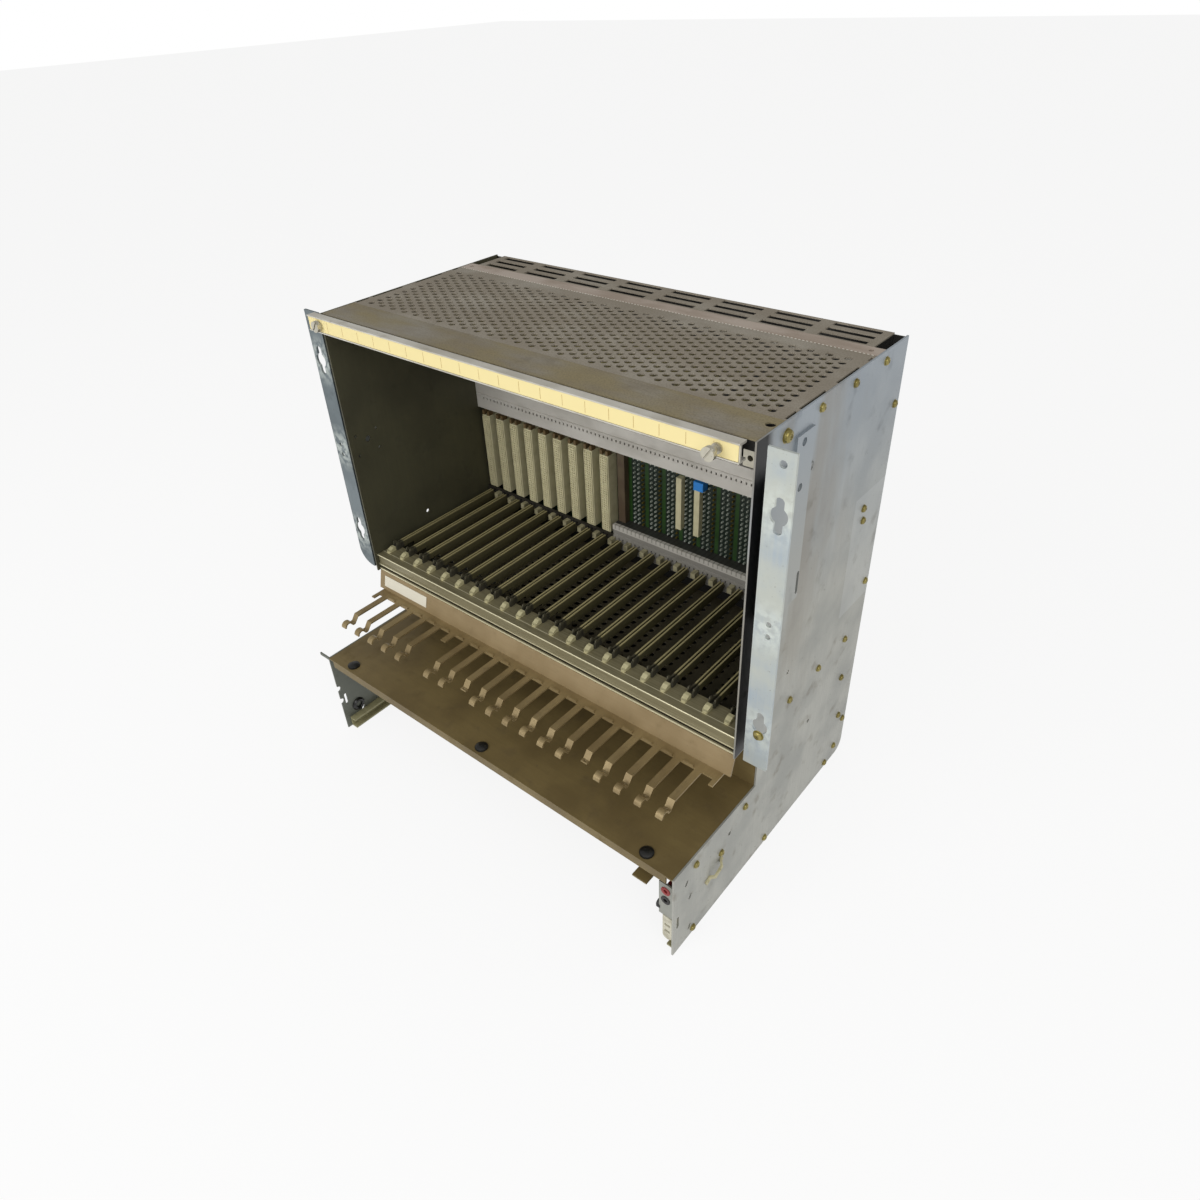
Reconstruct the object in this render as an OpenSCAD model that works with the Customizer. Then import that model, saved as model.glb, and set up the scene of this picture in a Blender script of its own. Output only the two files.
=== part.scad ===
// Subrack card cage for a 19 inch rack: 21 card slots over an open cable tray.
// Origin: centre of the footprint, on the plane that the side plates stand on.
// +X is to the right seen from the front, +Y to the back, +Z up.

/* [Card slots] */
// Number of card slots
slot_count = 21; // [4:1:21]
// Pitch from slot to slot
slot_pitch = 20.32; // [18:0.01:20.32]
// Height of a card
card_h = 233.35; // [180:0.05:260]
// Thickness of a card
card_t = 1.6; // [1:0.1:2.4]
// Shift of the slot row from the middle of the cage, to the left
slot_shift = 2.7; // [0:0.1:3]

/* [Rack frame] */
// Width over the rack ears
panel_w = 482.6; // [480:0.1:500]
// Width of one rack ear
ear_w = 19.8; // [18:0.1:21]
// Gap between a side plate and its rack ear
ear_gap = 5.9; // [4:0.1:7]
// Thickness of the rack ear brackets
ear_t = 2; // [1.5:0.1:3]
// Drop of a rack ear's top edge below the top of the cage
ear_drop = 1.25; // [0:0.05:5]
// Spacing of the mounting slots, four rack units
ear_slot_pitch = 177.8; // [150:0.1:190]
// Distance of a mounting hole line from the outer edge of its ear
ear_hole_inset = 8.75; // [8:0.05:10]

/* [Side plates] */
// Thickness of the side plates
plate_t = 1.5; // [1:0.1:2.5]
// Depth of the card bay part of a side plate
bay_d = 214.8; // [200:0.1:240]
// Reach of the foot in front of the card bay
foot_reach = 78.8; // [60:0.1:100]
// Height of the foot
foot_h = 98; // [80:0.5:110]
// Height of the cable notch above the foot
notch_h = 65; // [50:0.5:80]
// Depth of the cable notch from the front edge
notch_d = 38; // [25:0.5:45]
// Radius of the lower rear corner
plate_corner_r = 12; // [4:0.5:20]

/* [Rails] */
// Height of the front lower rail
front_rail_h = 18.5; // [16:0.5:24]
// Depth of the front lower rail
front_rail_d = 24; // [20:0.5:30]
// Height of the rear rails
rear_rail_h = 27; // [22:0.5:32]
// Depth of the rear rails
rear_rail_d = 16; // [12:0.5:20]
// Wall of the rails
rail_wall = 2; // [1.5:0.1:3]
// Pitch of the small windows along a rear rail
rail_window_pitch = 5.08; // [5:0.01:10]

/* [Top covers] */
// Thickness of the cover sheets
sheet_t = 1.2; // [0.8:0.1:1.5]
// Depth of the front top rail
top_rail_d = 33.6; // [28:0.1:40]
// Height of the top rails
top_rail_h = 7.8; // [5:0.1:9]
// Depth of the rear cross bar
cross_bar_d = 14.8; // [10:0.1:20]
// Pitch of the holes across the cover
hole_pitch_x = 14.8; // [13:0.1:18]
// Pitch of the holes along the cover
hole_pitch_y = 9.5; // [8.5:0.1:12]
// Diameter of the holes in the cover
hole_d = 6; // [4:0.1:7]
// Pitch of the louvre groups
louvre_pitch = 50.8; // [46:0.1:52]
// Length of a louvre slot
louvre_len = 39.5; // [30:0.5:42]
// Width of a louvre slot
louvre_w = 7.3; // [4:0.1:8]

/* [Card guides] */
// Width of a card guide
guide_w = 5.4; // [4.8:0.1:9]
// Height of the guide ribs
rib_h = 4; // [3:0.5:8]
// Thickness of the guide base
guide_base_t = 2.5; // [2:0.1:4]

/* [Backplane] */
// Thickness of the backplane board
board_t = 2.4; // [1.6:0.1:3.2]
// Number of slots with a connector
connector_count = 9; // [2:1:9]
// Height of a connector body
connector_h = 86; // [70:0.5:90]
// Width of a connector body
connector_w = 10.8; // [9:0.1:12]

/* [Cable comb and tray] */
// Reach of a comb finger from the comb's root
finger_reach = 36; // [28:0.5:45]
// Width of a comb finger
finger_w = 6.4; // [5:0.1:8]
// Thickness of the comb
comb_t = 1.5; // [1:0.1:2]
// Rise of the comb above the tray
comb_rise = 44; // [35:0.5:50]
// Thickness of the tray
tray_t = 1.5; // [1:0.1:2.5]
// Height of the tray's front lip
tray_lip_h = 9; // [6:0.5:14]

/* [Locking bar] */
// Height of the locking bar
bar_h = 13.4; // [12:0.1:16]
// Depth of the locking bar
bar_d = 8; // [6:0.5:12]
// Sideways shift of the loosened locking bar, to the left
bar_shift = 7; // [0:0.5:8]
// Wall of the locking bar
bar_wall = 1.6; // [1:0.1:2]
// Depth of the label recess in the front of the locking bar
bar_recess = 1; // [0.8:0.1:1.5]

/* [Fasteners] */
// Diameter of the small screw heads
head_d = 7.2; // [6:0.1:8]
// Diameter of the small screws
screw_d = 4; // [3:0.1:5]
// Growth of the corner screws over the small ones
corner_screw_scale = 1.5; // [1.2:0.1:1.6]

/* [Hidden] */
clearance = 0.15;
cut = 1;
round_fn = 48;
hole_fn = 24;

// Main planes
plate_out = panel_w / 2 - ear_w - ear_gap;
plate_in = plate_out - plate_t;
total_d = bay_d + foot_reach;
front_y = -total_d / 2;
rear_y = total_d / 2;
face_y = front_y + foot_reach;
ear_y = face_y + ear_t;
notch_y = face_y + notch_d;
notch_top = foot_h + notch_h;
front_rail_top = notch_top + front_rail_h;
card_floor = front_rail_top + guide_base_t;
card_roof = card_floor + card_h + 2 * clearance;
top_z = card_roof + guide_base_t + top_rail_h + 2;
inner_half = plate_in - clearance;

// Depth stations
front_rail_y = ear_y + 1;
rail_y = rear_y - 51.8;
board_y = rail_y + rear_rail_d;
cover_y = ear_y + top_rail_d;
strip_y = rail_y + 0.4;
strip_d = 1;
cover_d = strip_y - cover_y;
cross_y = strip_y + strip_d;
louvre_y = cross_y + cross_bar_d;

// Heights of the rear rails and the parts between them
low_rail_top = card_floor + 18.5;
low_rail_z = low_rail_top - rear_rail_h;
connector_z = low_rail_top - 12.5;
mid_rail_z = connector_z + connector_h + 9;
floor_z = notch_top + 3;
guide_y = front_rail_y + 17;
guide_len = rail_y - guide_y - clearance;

// Rack ears
ear_in = panel_w / 2 - ear_w;
ear_z = notch_top + 1.5;
ear_h = top_z - ear_drop - ear_z;
ear_mid = ear_z + ear_h / 2 - 1.4;
ear_hole_span = panel_w - 2 * ear_hole_inset;
ear_slot_w = 6.6;
ear_slot_h = 26.4;
ear_slot_eye = 13;
ear_pin_pitch = 10.4;
ear_pin_d = 4.4;
ear_foot_y = face_y + 71;
ear_foot_z = ear_mid - 19;
ear_foot_h = ear_z + ear_h - 14.5 - ear_foot_z;
ear_foot_front_y = face_y + 48;
ear_web_d = 28;
ear_web_drop = 32;

// Cover details
flange_h = 14;
hole_rows = floor((cover_d - 2 * 11) / hole_pitch_y) + 1;
hole_cols = floor((2 * plate_in - 2 * 13) / hole_pitch_x);
hole_y0 = cover_y + (cover_d - (hole_rows - 1) * hole_pitch_y) / 2 - 3;
edge_slot_w = 2;
louvre_half = plate_in - 9.6;
louvre_step = 12.3;
louvre_groups = floor(2 * louvre_half / louvre_pitch);

// Fixing screws in the side plates
head_h = 2.6;
top_screw_z = top_z - flange_h / 2 - 1;
top_screw_y = cover_y + 46;
top_screw_pitch = 48.5;
rear_screw_y = rear_y - 7;
rear_screw_z = 45;
rear_screw_pitch = 166.7;
rail_screw_y = rail_y + rear_rail_d / 2;
runner_h = 12;
runner_w = 8;
runner_y = front_y + 5;
panel_low = runner_h + clearance;
floor_hole_d = 5.6;
floor_hole_pitch = 9;
runner_screw_y = front_y + 28;
runner_screw_pitch = 115;
tray_screw_y = front_y + 30;
tray_screw_pitch = 72;
tray_flange_h = 22;
corner_screw_y = face_y + 36;
floor_screw_pitch = 49.3;
floor_screw_y = rail_y + 19.5;

// Comb and fascia
fascia_top_y = front_rail_y;
comb_z = foot_h + comb_rise;
fascia_lean = 5;
fascia_y = fascia_top_y - fascia_lean;
comb_root_y = fascia_y - 9;
end_gap = 6;
comb_half = plate_in - end_gap;
finger_root = 1;
label_len = 64;

// Locking bar
bar_y = face_y - bar_d;
bar_z = top_z - bar_h;
bar_len = 2 * plate_out;
bar_screw_x = 200;
bar_mid_z = bar_z + bar_h / 2;
label_t = 0.5;
label_y = bar_y + bar_recess - label_t - clearance / 2;
bar_screw_end = 9.4;

// Small parts at the foot
bracket_w = 13;
bracket_top = foot_h - tray_lip_h - 3;
bracket_h = 40;
socket_x = inner_half - bracket_w / 2;

function slot_x(i) = (i - (slot_count - 1) / 2) * slot_pitch - slot_shift;

GUIDE_NAMES = [for (i = [1 : slot_count]) str("card_guide_", i < 10 ? "0" : "", i)];

// ---------- helpers ----------

// Extrudes a Y-Z outline along X, from x0 to x1
module along_x(x0, x1) {
    translate([x0, 0, 0])
        rotate([90, 0, 90])
            linear_extrude(x1 - x0)
                children();
}

// Extrudes an X-Z outline along +Y, from y0 to y1
module along_y(y0, y1) {
    translate([0, y1, 0])
        rotate([90, 0, 0])
            linear_extrude(y1 - y0)
                children();
}

// A cylinder along +X
module x_rod(x0, x1, y, z, d) {
    translate([x0, y, z])
        rotate([0, 90, 0])
            cylinder(d = d, h = x1 - x0, $fn = round_fn);
}

// A cylinder along +Y
module y_rod(y0, y1, x, z, d) {
    translate([x, y1, z])
        rotate([90, 0, 0])
            cylinder(d = d, h = y1 - y0, $fn = round_fn);
}

// A box from its lowest and highest corners
module span(a, b) {
    translate(a)
        cube(b - a);
}

// A flat slot with round ends, its long side along Y
module long_slot(w, h) {
    square([w, h - w], center = true);
    for (s = [-1, 1])
        translate([0, s * (h - w) / 2])
            circle(d = w, $fn = hole_fn);
}

// ---------- side plates ----------

// Places of the side screws on a plate, as [y, z, scale]
function side_screw_places() = concat(
    [for (i = [0 : 2]) [top_screw_y + i * top_screw_pitch, top_screw_z, 1]],
    [[corner_screw_y, top_screw_z - 2, corner_screw_scale]],
    [for (i = [0 : 2]) [rear_screw_y, rear_screw_z + i * rear_screw_pitch, 1]],
    [for (s = [-1, 1]) [rail_screw_y + 9 - s, mid_rail_z + rear_rail_h / 2 - 5.7 + s * 6.1, 1]],
    [for (i = [0 : 2]) [floor_screw_y - i * floor_screw_pitch, floor_z - 4, 1]],
    [for (i = [0 : 2]) [runner_screw_y + i * runner_screw_pitch, runner_h / 2, 1]],
    [for (i = [0 : 1]) [tray_screw_y + i * tray_screw_pitch, foot_h - tray_flange_h / 2, 1]],
    [[rear_y - 26.3, foot_h + 14, 1], [rear_y - 18.7, foot_h - 40, 1], [rear_y - 18.7, runner_h + 4, 1],
     [tray_screw_y + 37.3, foot_h - 35.5, 1]]);

// Outline of a side plate, in the Y-Z plane
module plate_outline() {
    difference() {
        polygon([[front_y, 0], [rear_y, 0], [rear_y, top_z], [face_y, top_z],
                 [face_y, notch_top], [notch_y, notch_top], [notch_y, foot_h], [front_y, foot_h]]);
        translate([rear_y - plate_corner_r, plate_corner_r])
            rotate(-90)
                difference() {
                    square(plate_corner_r + cut);
                    circle(plate_corner_r, $fn = round_fn);
                }
    }
}

// A side plate with its screw holes, seen along +X, x0 is its left face
module side_plate(x0) {
    difference() {
        along_x(x0, x0 + plate_t)
            plate_outline();
        for (p = side_screw_places())
            x_rod(x0 - cut, x0 + plate_t + cut, p[0], p[1], screw_d * p[2]);
        for (p = [[notch_y + 37, ear_z + 34, 4], [rail_screw_y - 44, foot_h + 6, 4],
                  [face_y + 0.6, foot_h - 23, 4], [ear_foot_y + 4, ear_foot_z + ear_foot_h - 32, 7.5]])
            x_rod(x0 - cut, x0 + plate_t + cut, p[0], p[1], p[2]);
        for (p = [[tray_screw_y - 12.5, foot_h - 22], [tray_screw_y - 7, foot_h - 44], [tray_screw_y - 7, runner_h + 1]])
            along_x(x0 - cut, x0 + plate_t + cut)
                translate(p)
                    rotate(-30)
                        long_slot(2.6, 6);
        along_x(x0 - cut, x0 + plate_t + cut)
            translate([front_y + 6.2, runner_h + 26])
                long_slot(3, 14);
    }
}

module side_plate_right() {
    color("#acacA4")
        side_plate(plate_in);
}

module side_plate_left() {
    tab_w = 14;
    color("#8f938f")
        difference() {
            union() {
                side_plate(-plate_out);
                span([-plate_out - tab_w, front_y, foot_h - 3], [-plate_in, front_y + plate_t, foot_h]);
            }
            for (h = [43, 60])
                x_rod(-plate_out - cut, -plate_in + cut, front_y, foot_h - h, 7);
            for (s = [0 : 1], t = [0 : 1])
                x_rod(-plate_out - cut, -plate_in + cut, face_y + 8 + 24 * s, ear_mid - 4 + 20 * t, 3);
            x_rod(-plate_out - cut, -plate_in + cut, face_y + 21, ear_mid + 9, 6);
        }
}

// One pan head screw with its shank through a wall of plate_t, head towards +X, origin under the head
module side_screw(k) {
    rotate([0, 90, 0]) {
        cylinder(d = head_d * k, h = head_h * k * 0.55, $fn = round_fn);
        translate([0, 0, head_h * k * 0.55])
            intersection() {
                cylinder(d = head_d * k, h = head_h * k * 0.45, $fn = round_fn);
                translate([0, 0, -head_d * k])
                    sphere(d = 2 * sqrt(pow(head_d * k / 2, 2) + pow(head_d * k, 2)), $fn = round_fn);
            }
        translate([0, 0, -plate_t])
            cylinder(d = screw_d * k - 2 * clearance, h = plate_t, $fn = round_fn);
    }
}

module side_screws() {
    color("#9a8a4a")
        for (s = [0, 1], p = side_screw_places())
            mirror([s, 0, 0])
                translate([plate_out, p[0], p[1]])
                    side_screw(p[2]);
}

// ---------- rack ears ----------

// Mounting slot with a round eye in its middle
module ear_slot() {
    long_slot(ear_slot_w, ear_slot_h);
    circle(d = ear_slot_eye, $fn = round_fn);
}

// Front face of a right hand ear, in the X-Z plane, with corner radius r at its outer lower corner
module ear_face(r) {
    hole_x = ear_hole_span / 2;
    difference() {
        translate([ear_in, ear_z])
            square([ear_w, ear_h]);
        translate([panel_w / 2 - r, ear_z + r])
            rotate(-90)
                difference() {
                    square(r + cut);
                    circle(r, $fn = round_fn);
                }
        for (s = [-1, 1]) {
            translate([hole_x, ear_mid + s * ear_slot_pitch / 2])
                ear_slot();
            translate([hole_x, ear_mid + s * ear_pin_pitch / 2])
                circle(d = ear_pin_d, $fn = hole_fn);
        }
        translate([hole_x, ear_z + ear_h - 9])
            circle(d = ear_pin_d + 1, $fn = hole_fn);
    }
}

// Bent bracket: ear, return web, step to the side plate and foot on the plate's outer face
module ear_bracket(r) {
    web_top = ear_z + ear_h - ear_web_drop;
    along_y(ear_y, ear_y + ear_t)
        ear_face(r);
    translate([0, 0, ear_z])
        linear_extrude(web_top - ear_z)
            polygon([[ear_in, ear_y + ear_t], [ear_in + ear_t, ear_y + ear_t],
                     [ear_in + ear_t, ear_y + ear_web_d], [ear_in, ear_y + ear_web_d]]);
    translate([0, 0, ear_foot_z])
        linear_extrude(web_top - ear_foot_z)
            polygon([[plate_out, ear_y + ear_web_d - ear_t], [ear_in, ear_y + ear_web_d - ear_t],
                     [ear_in, ear_y + ear_web_d], [plate_out + ear_t, ear_y + ear_web_d],
                     [plate_out + ear_t, ear_foot_front_y], [plate_out, ear_foot_front_y]]);
    span([plate_out, ear_foot_front_y, ear_foot_z], [plate_out + ear_t, ear_foot_y, ear_foot_z + ear_foot_h]);
}

module ear_bracket_right() {
    color("#b9c0be")
        difference() {
            ear_bracket(1);
            for (drop = [6.5, 40])
                x_rod(plate_out - cut, plate_out + ear_t + cut, ear_foot_y - 13.5, ear_foot_z + ear_foot_h - drop, 6);
            along_x(plate_out - cut, plate_out + ear_t + cut)
                translate([ear_foot_y - 2, ear_foot_z + 14])
                    long_slot(3.4, 20);
        }
}

module ear_bracket_left() {
    color("#8d979a")
        mirror([1, 0, 0])
            ear_bracket(17);
}

// ---------- top ----------

// Channel outline open to the bottom, from y0 to y1 below top_z, wall w
module down_channel(y0, y1, h, w) {
    difference() {
        translate([y0, top_z - h])
            square([y1 - y0, h]);
        translate([y0 + w, top_z - h - cut])
            square([y1 - y0 - 2 * w, h - w + cut]);
    }
}

module top_front_rail() {
    color("#8d8577")
        difference() {
            along_x(-inner_half, inner_half)
                down_channel(ear_y + clearance, cover_y - clearance, top_rail_h, rail_wall);
            translate([inner_half - 4.5, cover_y - 10, top_z - top_rail_h])
                cylinder(d = 7, h = top_rail_h + cut, $fn = hole_fn);
        }
}

// Plan of the perforated sheet
module cover_plan() {
    half = plate_in - clearance;
    difference() {
        translate([-half, cover_y])
            square([2 * half, cover_d]);
        for (j = [0 : 2 * hole_rows - 2])
            for (i = [0 : hole_cols - (j % 2)])
                translate([(i - hole_cols / 2 + (j % 2) / 2) * hole_pitch_x, hole_y0 + j * hole_pitch_y / 2])
                    circle(d = hole_d, $fn = hole_fn);
    }
}

// Long slots along the bends of the cover, as [start, length] from the cover's front edge
EDGE_SLOTS = [[2, 14], [20, 35], [70, 33], [117, 7]];

module perforated_cover() {
    half = plate_in - clearance;
    color("#968e80")
        difference() {
            union() {
                translate([0, 0, top_z - sheet_t])
                    linear_extrude(sheet_t)
                        cover_plan();
                for (s = [0, 1])
                    mirror([s, 0, 0])
                        span([half - sheet_t, cover_y, top_z - flange_h],
                             [half, cover_y + cover_d, top_z - sheet_t]);
            }
            for (s = [0, 1], e = EDGE_SLOTS)
                mirror([s, 0, 0])
                    span([half - edge_slot_w, cover_y + e[0], top_z - 4],
                         [half + cut, cover_y + e[0] + e[1], top_z + cut]);
            for (s = [0, 1], i = [0 : 1])
                mirror([s, 0, 0])
                    x_rod(half - sheet_t - cut, half + cut, top_screw_y + i * top_screw_pitch, top_screw_z, screw_d);
        }
}

// Strip of small spring teeth behind the cover
module contact_strip() {
    teeth = floor(2 * (inner_half - 1) / 3.2);
    tooth = 2 * (inner_half - 1) / teeth;
    color("#d9d4c8")
        along_y(strip_y, strip_y + strip_d)
            polygon(concat(
                [for (i = [0 : teeth - 1], k = [0, 1, 2, 3])
                    [-inner_half + 1 + tooth * (i + [0, 0, 0.5, 0.5][k]), top_z - [0.8, 0, 0, 0.8][k]]],
                [[inner_half - 1, top_z - 0.8], [inner_half - 1, top_z - top_rail_h],
                 [-inner_half + 1, top_z - top_rail_h]]));
}

module rear_cross_bar() {
    color("#a3968a")
        difference() {
            along_x(-inner_half, inner_half)
                down_channel(cross_y, cross_y + cross_bar_d - clearance, top_rail_h, rail_wall);
            for (s = [-1, 1])
                translate([s * (inner_half - 8), cross_y + cross_bar_d / 2, top_z - top_rail_h])
                    cylinder(d = 4, h = top_rail_h + cut, $fn = hole_fn);
        }
}

module louvre_cover() {
    color("#8f8a7f") {
        difference() {
            span([-louvre_half, louvre_y, top_z - sheet_t], [louvre_half, rear_y, top_z]);
            for (i = [0 : louvre_groups - 1], j = [0 : 2])
                translate([(i - (louvre_groups - 1) / 2) * louvre_pitch, louvre_y + 5.5 + j * louvre_step,
                           top_z - sheet_t - cut])
                    linear_extrude(sheet_t + 2 * cut)
                        square([louvre_len, louvre_w], center = true);
        }
        span([-louvre_half, rear_y - sheet_t, top_z - flange_h], [louvre_half, rear_y, top_z - sheet_t]);
    }
}

// Back wall and bottom folded from one sheet, with side flanges and a corner piece beside the louvre cover
module rear_panel() {
    half = plate_in - clearance;
    side_d = 20;
    wall_top = top_z - flange_h - clearance;
    color("#9fa19c")
        difference() {
            union() {
                span([-half, rear_y - sheet_t, panel_low], [half, rear_y, wall_top]);
                span([-half, notch_y + tray_t + 1, panel_low], [half, rear_y, panel_low + sheet_t]);
                for (s = [0, 1])
                    mirror([s, 0, 0]) {
                        span([half - sheet_t, rear_y - side_d, panel_low], [half, rear_y, wall_top]);
                        span([louvre_half + clearance, rear_y - sheet_t, wall_top - cut],
                             [half, rear_y, top_z - sheet_t]);
                    }
            }
            for (i = [0 : 2])
                x_rod(-half - cut, half + cut, rear_screw_y, rear_screw_z + i * rear_screw_pitch, screw_d);
        }
}

// ---------- locking bar ----------

// Section of the locking bar: a channel open to the back, with a shallow label recess in its front
module bar_section() {
    difference() {
        translate([bar_y, bar_z])
            square([bar_d - clearance, bar_h]);
        translate([bar_y - cut, bar_z + bar_recess])
            square([bar_recess + cut, bar_h - 2 * bar_recess]);
        translate([bar_y + bar_recess + bar_wall, bar_z + bar_wall])
            square([bar_d, bar_h - 2 * bar_wall]);
    }
}

module locking_bar() {
    color("#c9c5bd")
        difference() {
            along_x(-bar_shift - bar_len / 2, -bar_shift + bar_len / 2)
                bar_section();
            for (s = [-1, 1])
                y_rod(bar_y, face_y + cut, s * bar_screw_x - bar_shift, bar_mid_z, screw_d + 1);
        }
}

module locking_bar_label() {
    color("#dcbc5e")
        difference() {
            span([-bar_shift - bar_len / 2 + 1, label_y, bar_z + bar_recess + 0.2],
                 [-bar_shift + bar_len / 2 - 1, label_y + label_t, bar_z + bar_h - bar_recess - 0.2]);
            for (s = [-1, 1])
                y_rod(bar_y, face_y + cut, s * bar_screw_x - bar_shift, bar_mid_z, screw_d + 3);
        }
}

// Captive thumb screw along +Y, with a slotted disc head and a collar
module thumb_screw(lift) {
    difference() {
        union() {
            y_rod(-lift - 3.4, -lift, 0, 0, 9.6);
            y_rod(-lift, bar_screw_end, 0, 0, screw_d);
            y_rod(-1.4, 0, 0, 0, 7.4);
        }
        rotate([0, 35, 0])
            span([-0.7, -lift - 3.4 - cut, -6], [0.7, -lift - 2, 6]);
    }
}

module locking_screws() {
    color("#a9a596")
        for (s = [-1, 1])
            translate([s * bar_screw_x - bar_shift, label_y - clearance, bar_mid_z])
                thumb_screw(s > 0 ? 7.6 : 1.6);
}

module locking_blocks() {
    color("#b3b0a6")
        for (s = [0, 1])
            mirror([s, 0, 0])
                difference() {
                    span([inner_half - 12, face_y + 8, bar_z - 9], [inner_half, face_y + 17, bar_z + 4]);
                    y_rod(face_y, face_y + 17 + cut, inner_half - 7, bar_z - 3, 4);
                }
}

// ---------- rails ----------

module front_lower_rail() {
    y0 = front_rail_y;
    y1 = y0 + front_rail_d;
    z0 = notch_top;
    z1 = front_rail_top;
    color("#6f6850")
        along_x(-inner_half, inner_half)
            difference() {
                polygon([[y0 + 0.4, z0], [y0, z0 + 0.5], [y0, z0 + 2], [y0 + 2.4, z0 + 2.6],
                         [y0 + 2.4, z0 + 5.4], [y0, z0 + 6], [y0, z0 + 8.4], [y0 + 1, z0 + 9],
                         [y0 + 1, z1 - 1.6], [y0, z1 - 1.2], [y0, z1 - 0.4], [y0 + 0.4, z1],
                         [y1, z1], [y1, z0]]);
                translate([y0 + 2.4 + rail_wall, z0 - cut])
                    square([front_rail_d - 2.4 - 2 * rail_wall, front_rail_h - rail_wall + cut]);
            }
}

// Rear rail with its lower front face at z, x0 to x1, and a row of windows
module rear_rail(z) {
    n = floor(2 * (inner_half - 6) / rail_window_pitch);
    difference() {
        along_x(-inner_half, inner_half)
            difference() {
                polygon([[rail_y, z], [rail_y, z + rear_rail_h * 0.58], [rail_y + 0.8, z + rear_rail_h * 0.6],
                         [rail_y, z + rear_rail_h * 0.62], [rail_y, z + rear_rail_h],
                         [board_y - clearance, z + rear_rail_h], [board_y - clearance, z]]);
                translate([rail_y + rail_wall + 0.8, z + rail_wall])
                    square([rear_rail_d, rear_rail_h - 2 * rail_wall]);
            }
        for (i = [0 : n - 1])
            span([(i - (n - 1) / 2) * rail_window_pitch - 0.8, rail_y - cut, z + rear_rail_h * 0.4],
                 [(i - (n - 1) / 2) * rail_window_pitch + 0.8, rail_y + rail_wall + 1, z + rear_rail_h * 0.4 + 2.4]);
    }
}

module middle_rear_rail() {
    color("#afaaa2")
        rear_rail(mid_rail_z);
}

module lower_rear_rail() {
    zone = slot_x(connector_count - 1) + slot_pitch / 2;
    color("#afaaa2")
        difference() {
            rear_rail(low_rail_z);
            span([-inner_half - cut, rail_y - cut, connector_z - clearance],
                 [zone, board_y, low_rail_top + cut]);
        }
}

module floor_grille() {
    y0 = front_rail_y + front_rail_d + clearance;
    y1 = rail_y - clearance;
    half = inner_half;
    rows = floor((y1 - y0 - 14) / floor_hole_pitch);
    color("#3c382e")
        difference() {
            union() {
                span([-half, y0, floor_z - sheet_t], [half, y1, floor_z]);
                for (s = [0, 1])
                    mirror([s, 0, 0])
                        span([half - sheet_t, y0, floor_z - 12], [half, y1, floor_z - sheet_t]);
            }
            for (i = [0 : slot_count - 2], j = [0 : rows - 1], s = [0, 1])
                translate([slot_x(i) + slot_pitch / 2 + (2 * s - 1) * 3.9, y0 + 9 + (j + s / 2) * floor_hole_pitch,
                           floor_z - sheet_t - cut])
                    cylinder(d = floor_hole_d, h = sheet_t + 2 * cut, $fn = hole_fn);
            for (i = [1 : 2])
                x_rod(-half - cut, half + cut, floor_screw_y - i * floor_screw_pitch, floor_z - 4, screw_d);
        }
}

// ---------- card guides ----------

// Plan of one rib with a flared lead-in at its front, groove on its left
module rib_plan() {
    groove = card_t / 2 + clearance;
    wall = 1.3;
    polygon([[groove, 8], [groove + wall, 8], [groove + wall, guide_len - 2], [groove, guide_len - 2]]);
    polygon([[groove + 1, 0], [guide_w / 2, 0], [groove + wall, 8], [groove, 8]]);
}

// One guide, its base on z = 0 and its front at y = 0, with a two pronged fork at the lead-in
module guide() {
    prong = 1.4;
    translate([-guide_w / 2, 0, 0])
        cube([guide_w, 14, guide_base_t]);
    translate([-guide_w / 2 + 0.4, 14, 0])
        cube([guide_w - 0.8, guide_len - 14, guide_base_t]);
    translate([-0.8, front_rail_d, -5])
        cube([1.6, guide_len - front_rail_d, 5]);
    translate([0, 0, guide_base_t])
        linear_extrude(rib_h)
            for (s = [0, 1])
                mirror([s, 0, 0])
                    rib_plan();
    for (s = [0, 1])
        mirror([s, 0, 0])
            along_x(guide_w / 2 - prong + 0.6, guide_w / 2 + 0.6)
                polygon([[0.5, 0], [5.5, 0], [5.5, guide_base_t + rib_h], [3.5, guide_base_t + rib_h + 1.8],
                         [1.5, guide_base_t + rib_h + 1.8], [0.5, guide_base_t + 1]]);
}

module card_guide(i) {
    color("#7d7547")
        translate([slot_x(i), guide_y, front_rail_top])
            guide();
}

module upper_card_guides() {
    color("#7d7547")
        for (i = [0 : slot_count - 1])
            translate([slot_x(i), guide_y, card_roof + guide_base_t])
                mirror([0, 0, 1])
                    guide();
}

// Rounded clip on the front rail before each guide
module guide_clips() {
    color("#c7c09a")
        for (i = [0 : slot_count - 1])
            translate([slot_x(i), guide_y - clearance, front_rail_top]) {
                translate([-1, -6.5, 0])
                    cylinder(d = 5, h = 2.4, $fn = hole_fn);
                along_x(-3.5, 1.5)
                    polygon([[-6.5, 0], [-6.5, 2.4], [-3, 4.2], [0, 4.2], [0, 0]]);
            }
}

// Pale block on the rear rail between two guides
module guide_spacers() {
    color("#cfcabd")
        for (i = [0 : slot_count - 2])
            span([slot_x(i) + slot_pitch / 2 - 1.6, rail_y - 7, front_rail_top + 0.5],
                 [slot_x(i) + slot_pitch / 2 + 3.4, rail_y, front_rail_top + 6.5]);
}

// ---------- backplane ----------

module backplane_board() {
    color("#1d3a1f")
        span([-inner_half + 1, board_y, low_rail_z + 2], [inner_half - 1, board_y + board_t, mid_rail_z + rear_rail_h - 2]);
}

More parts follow.
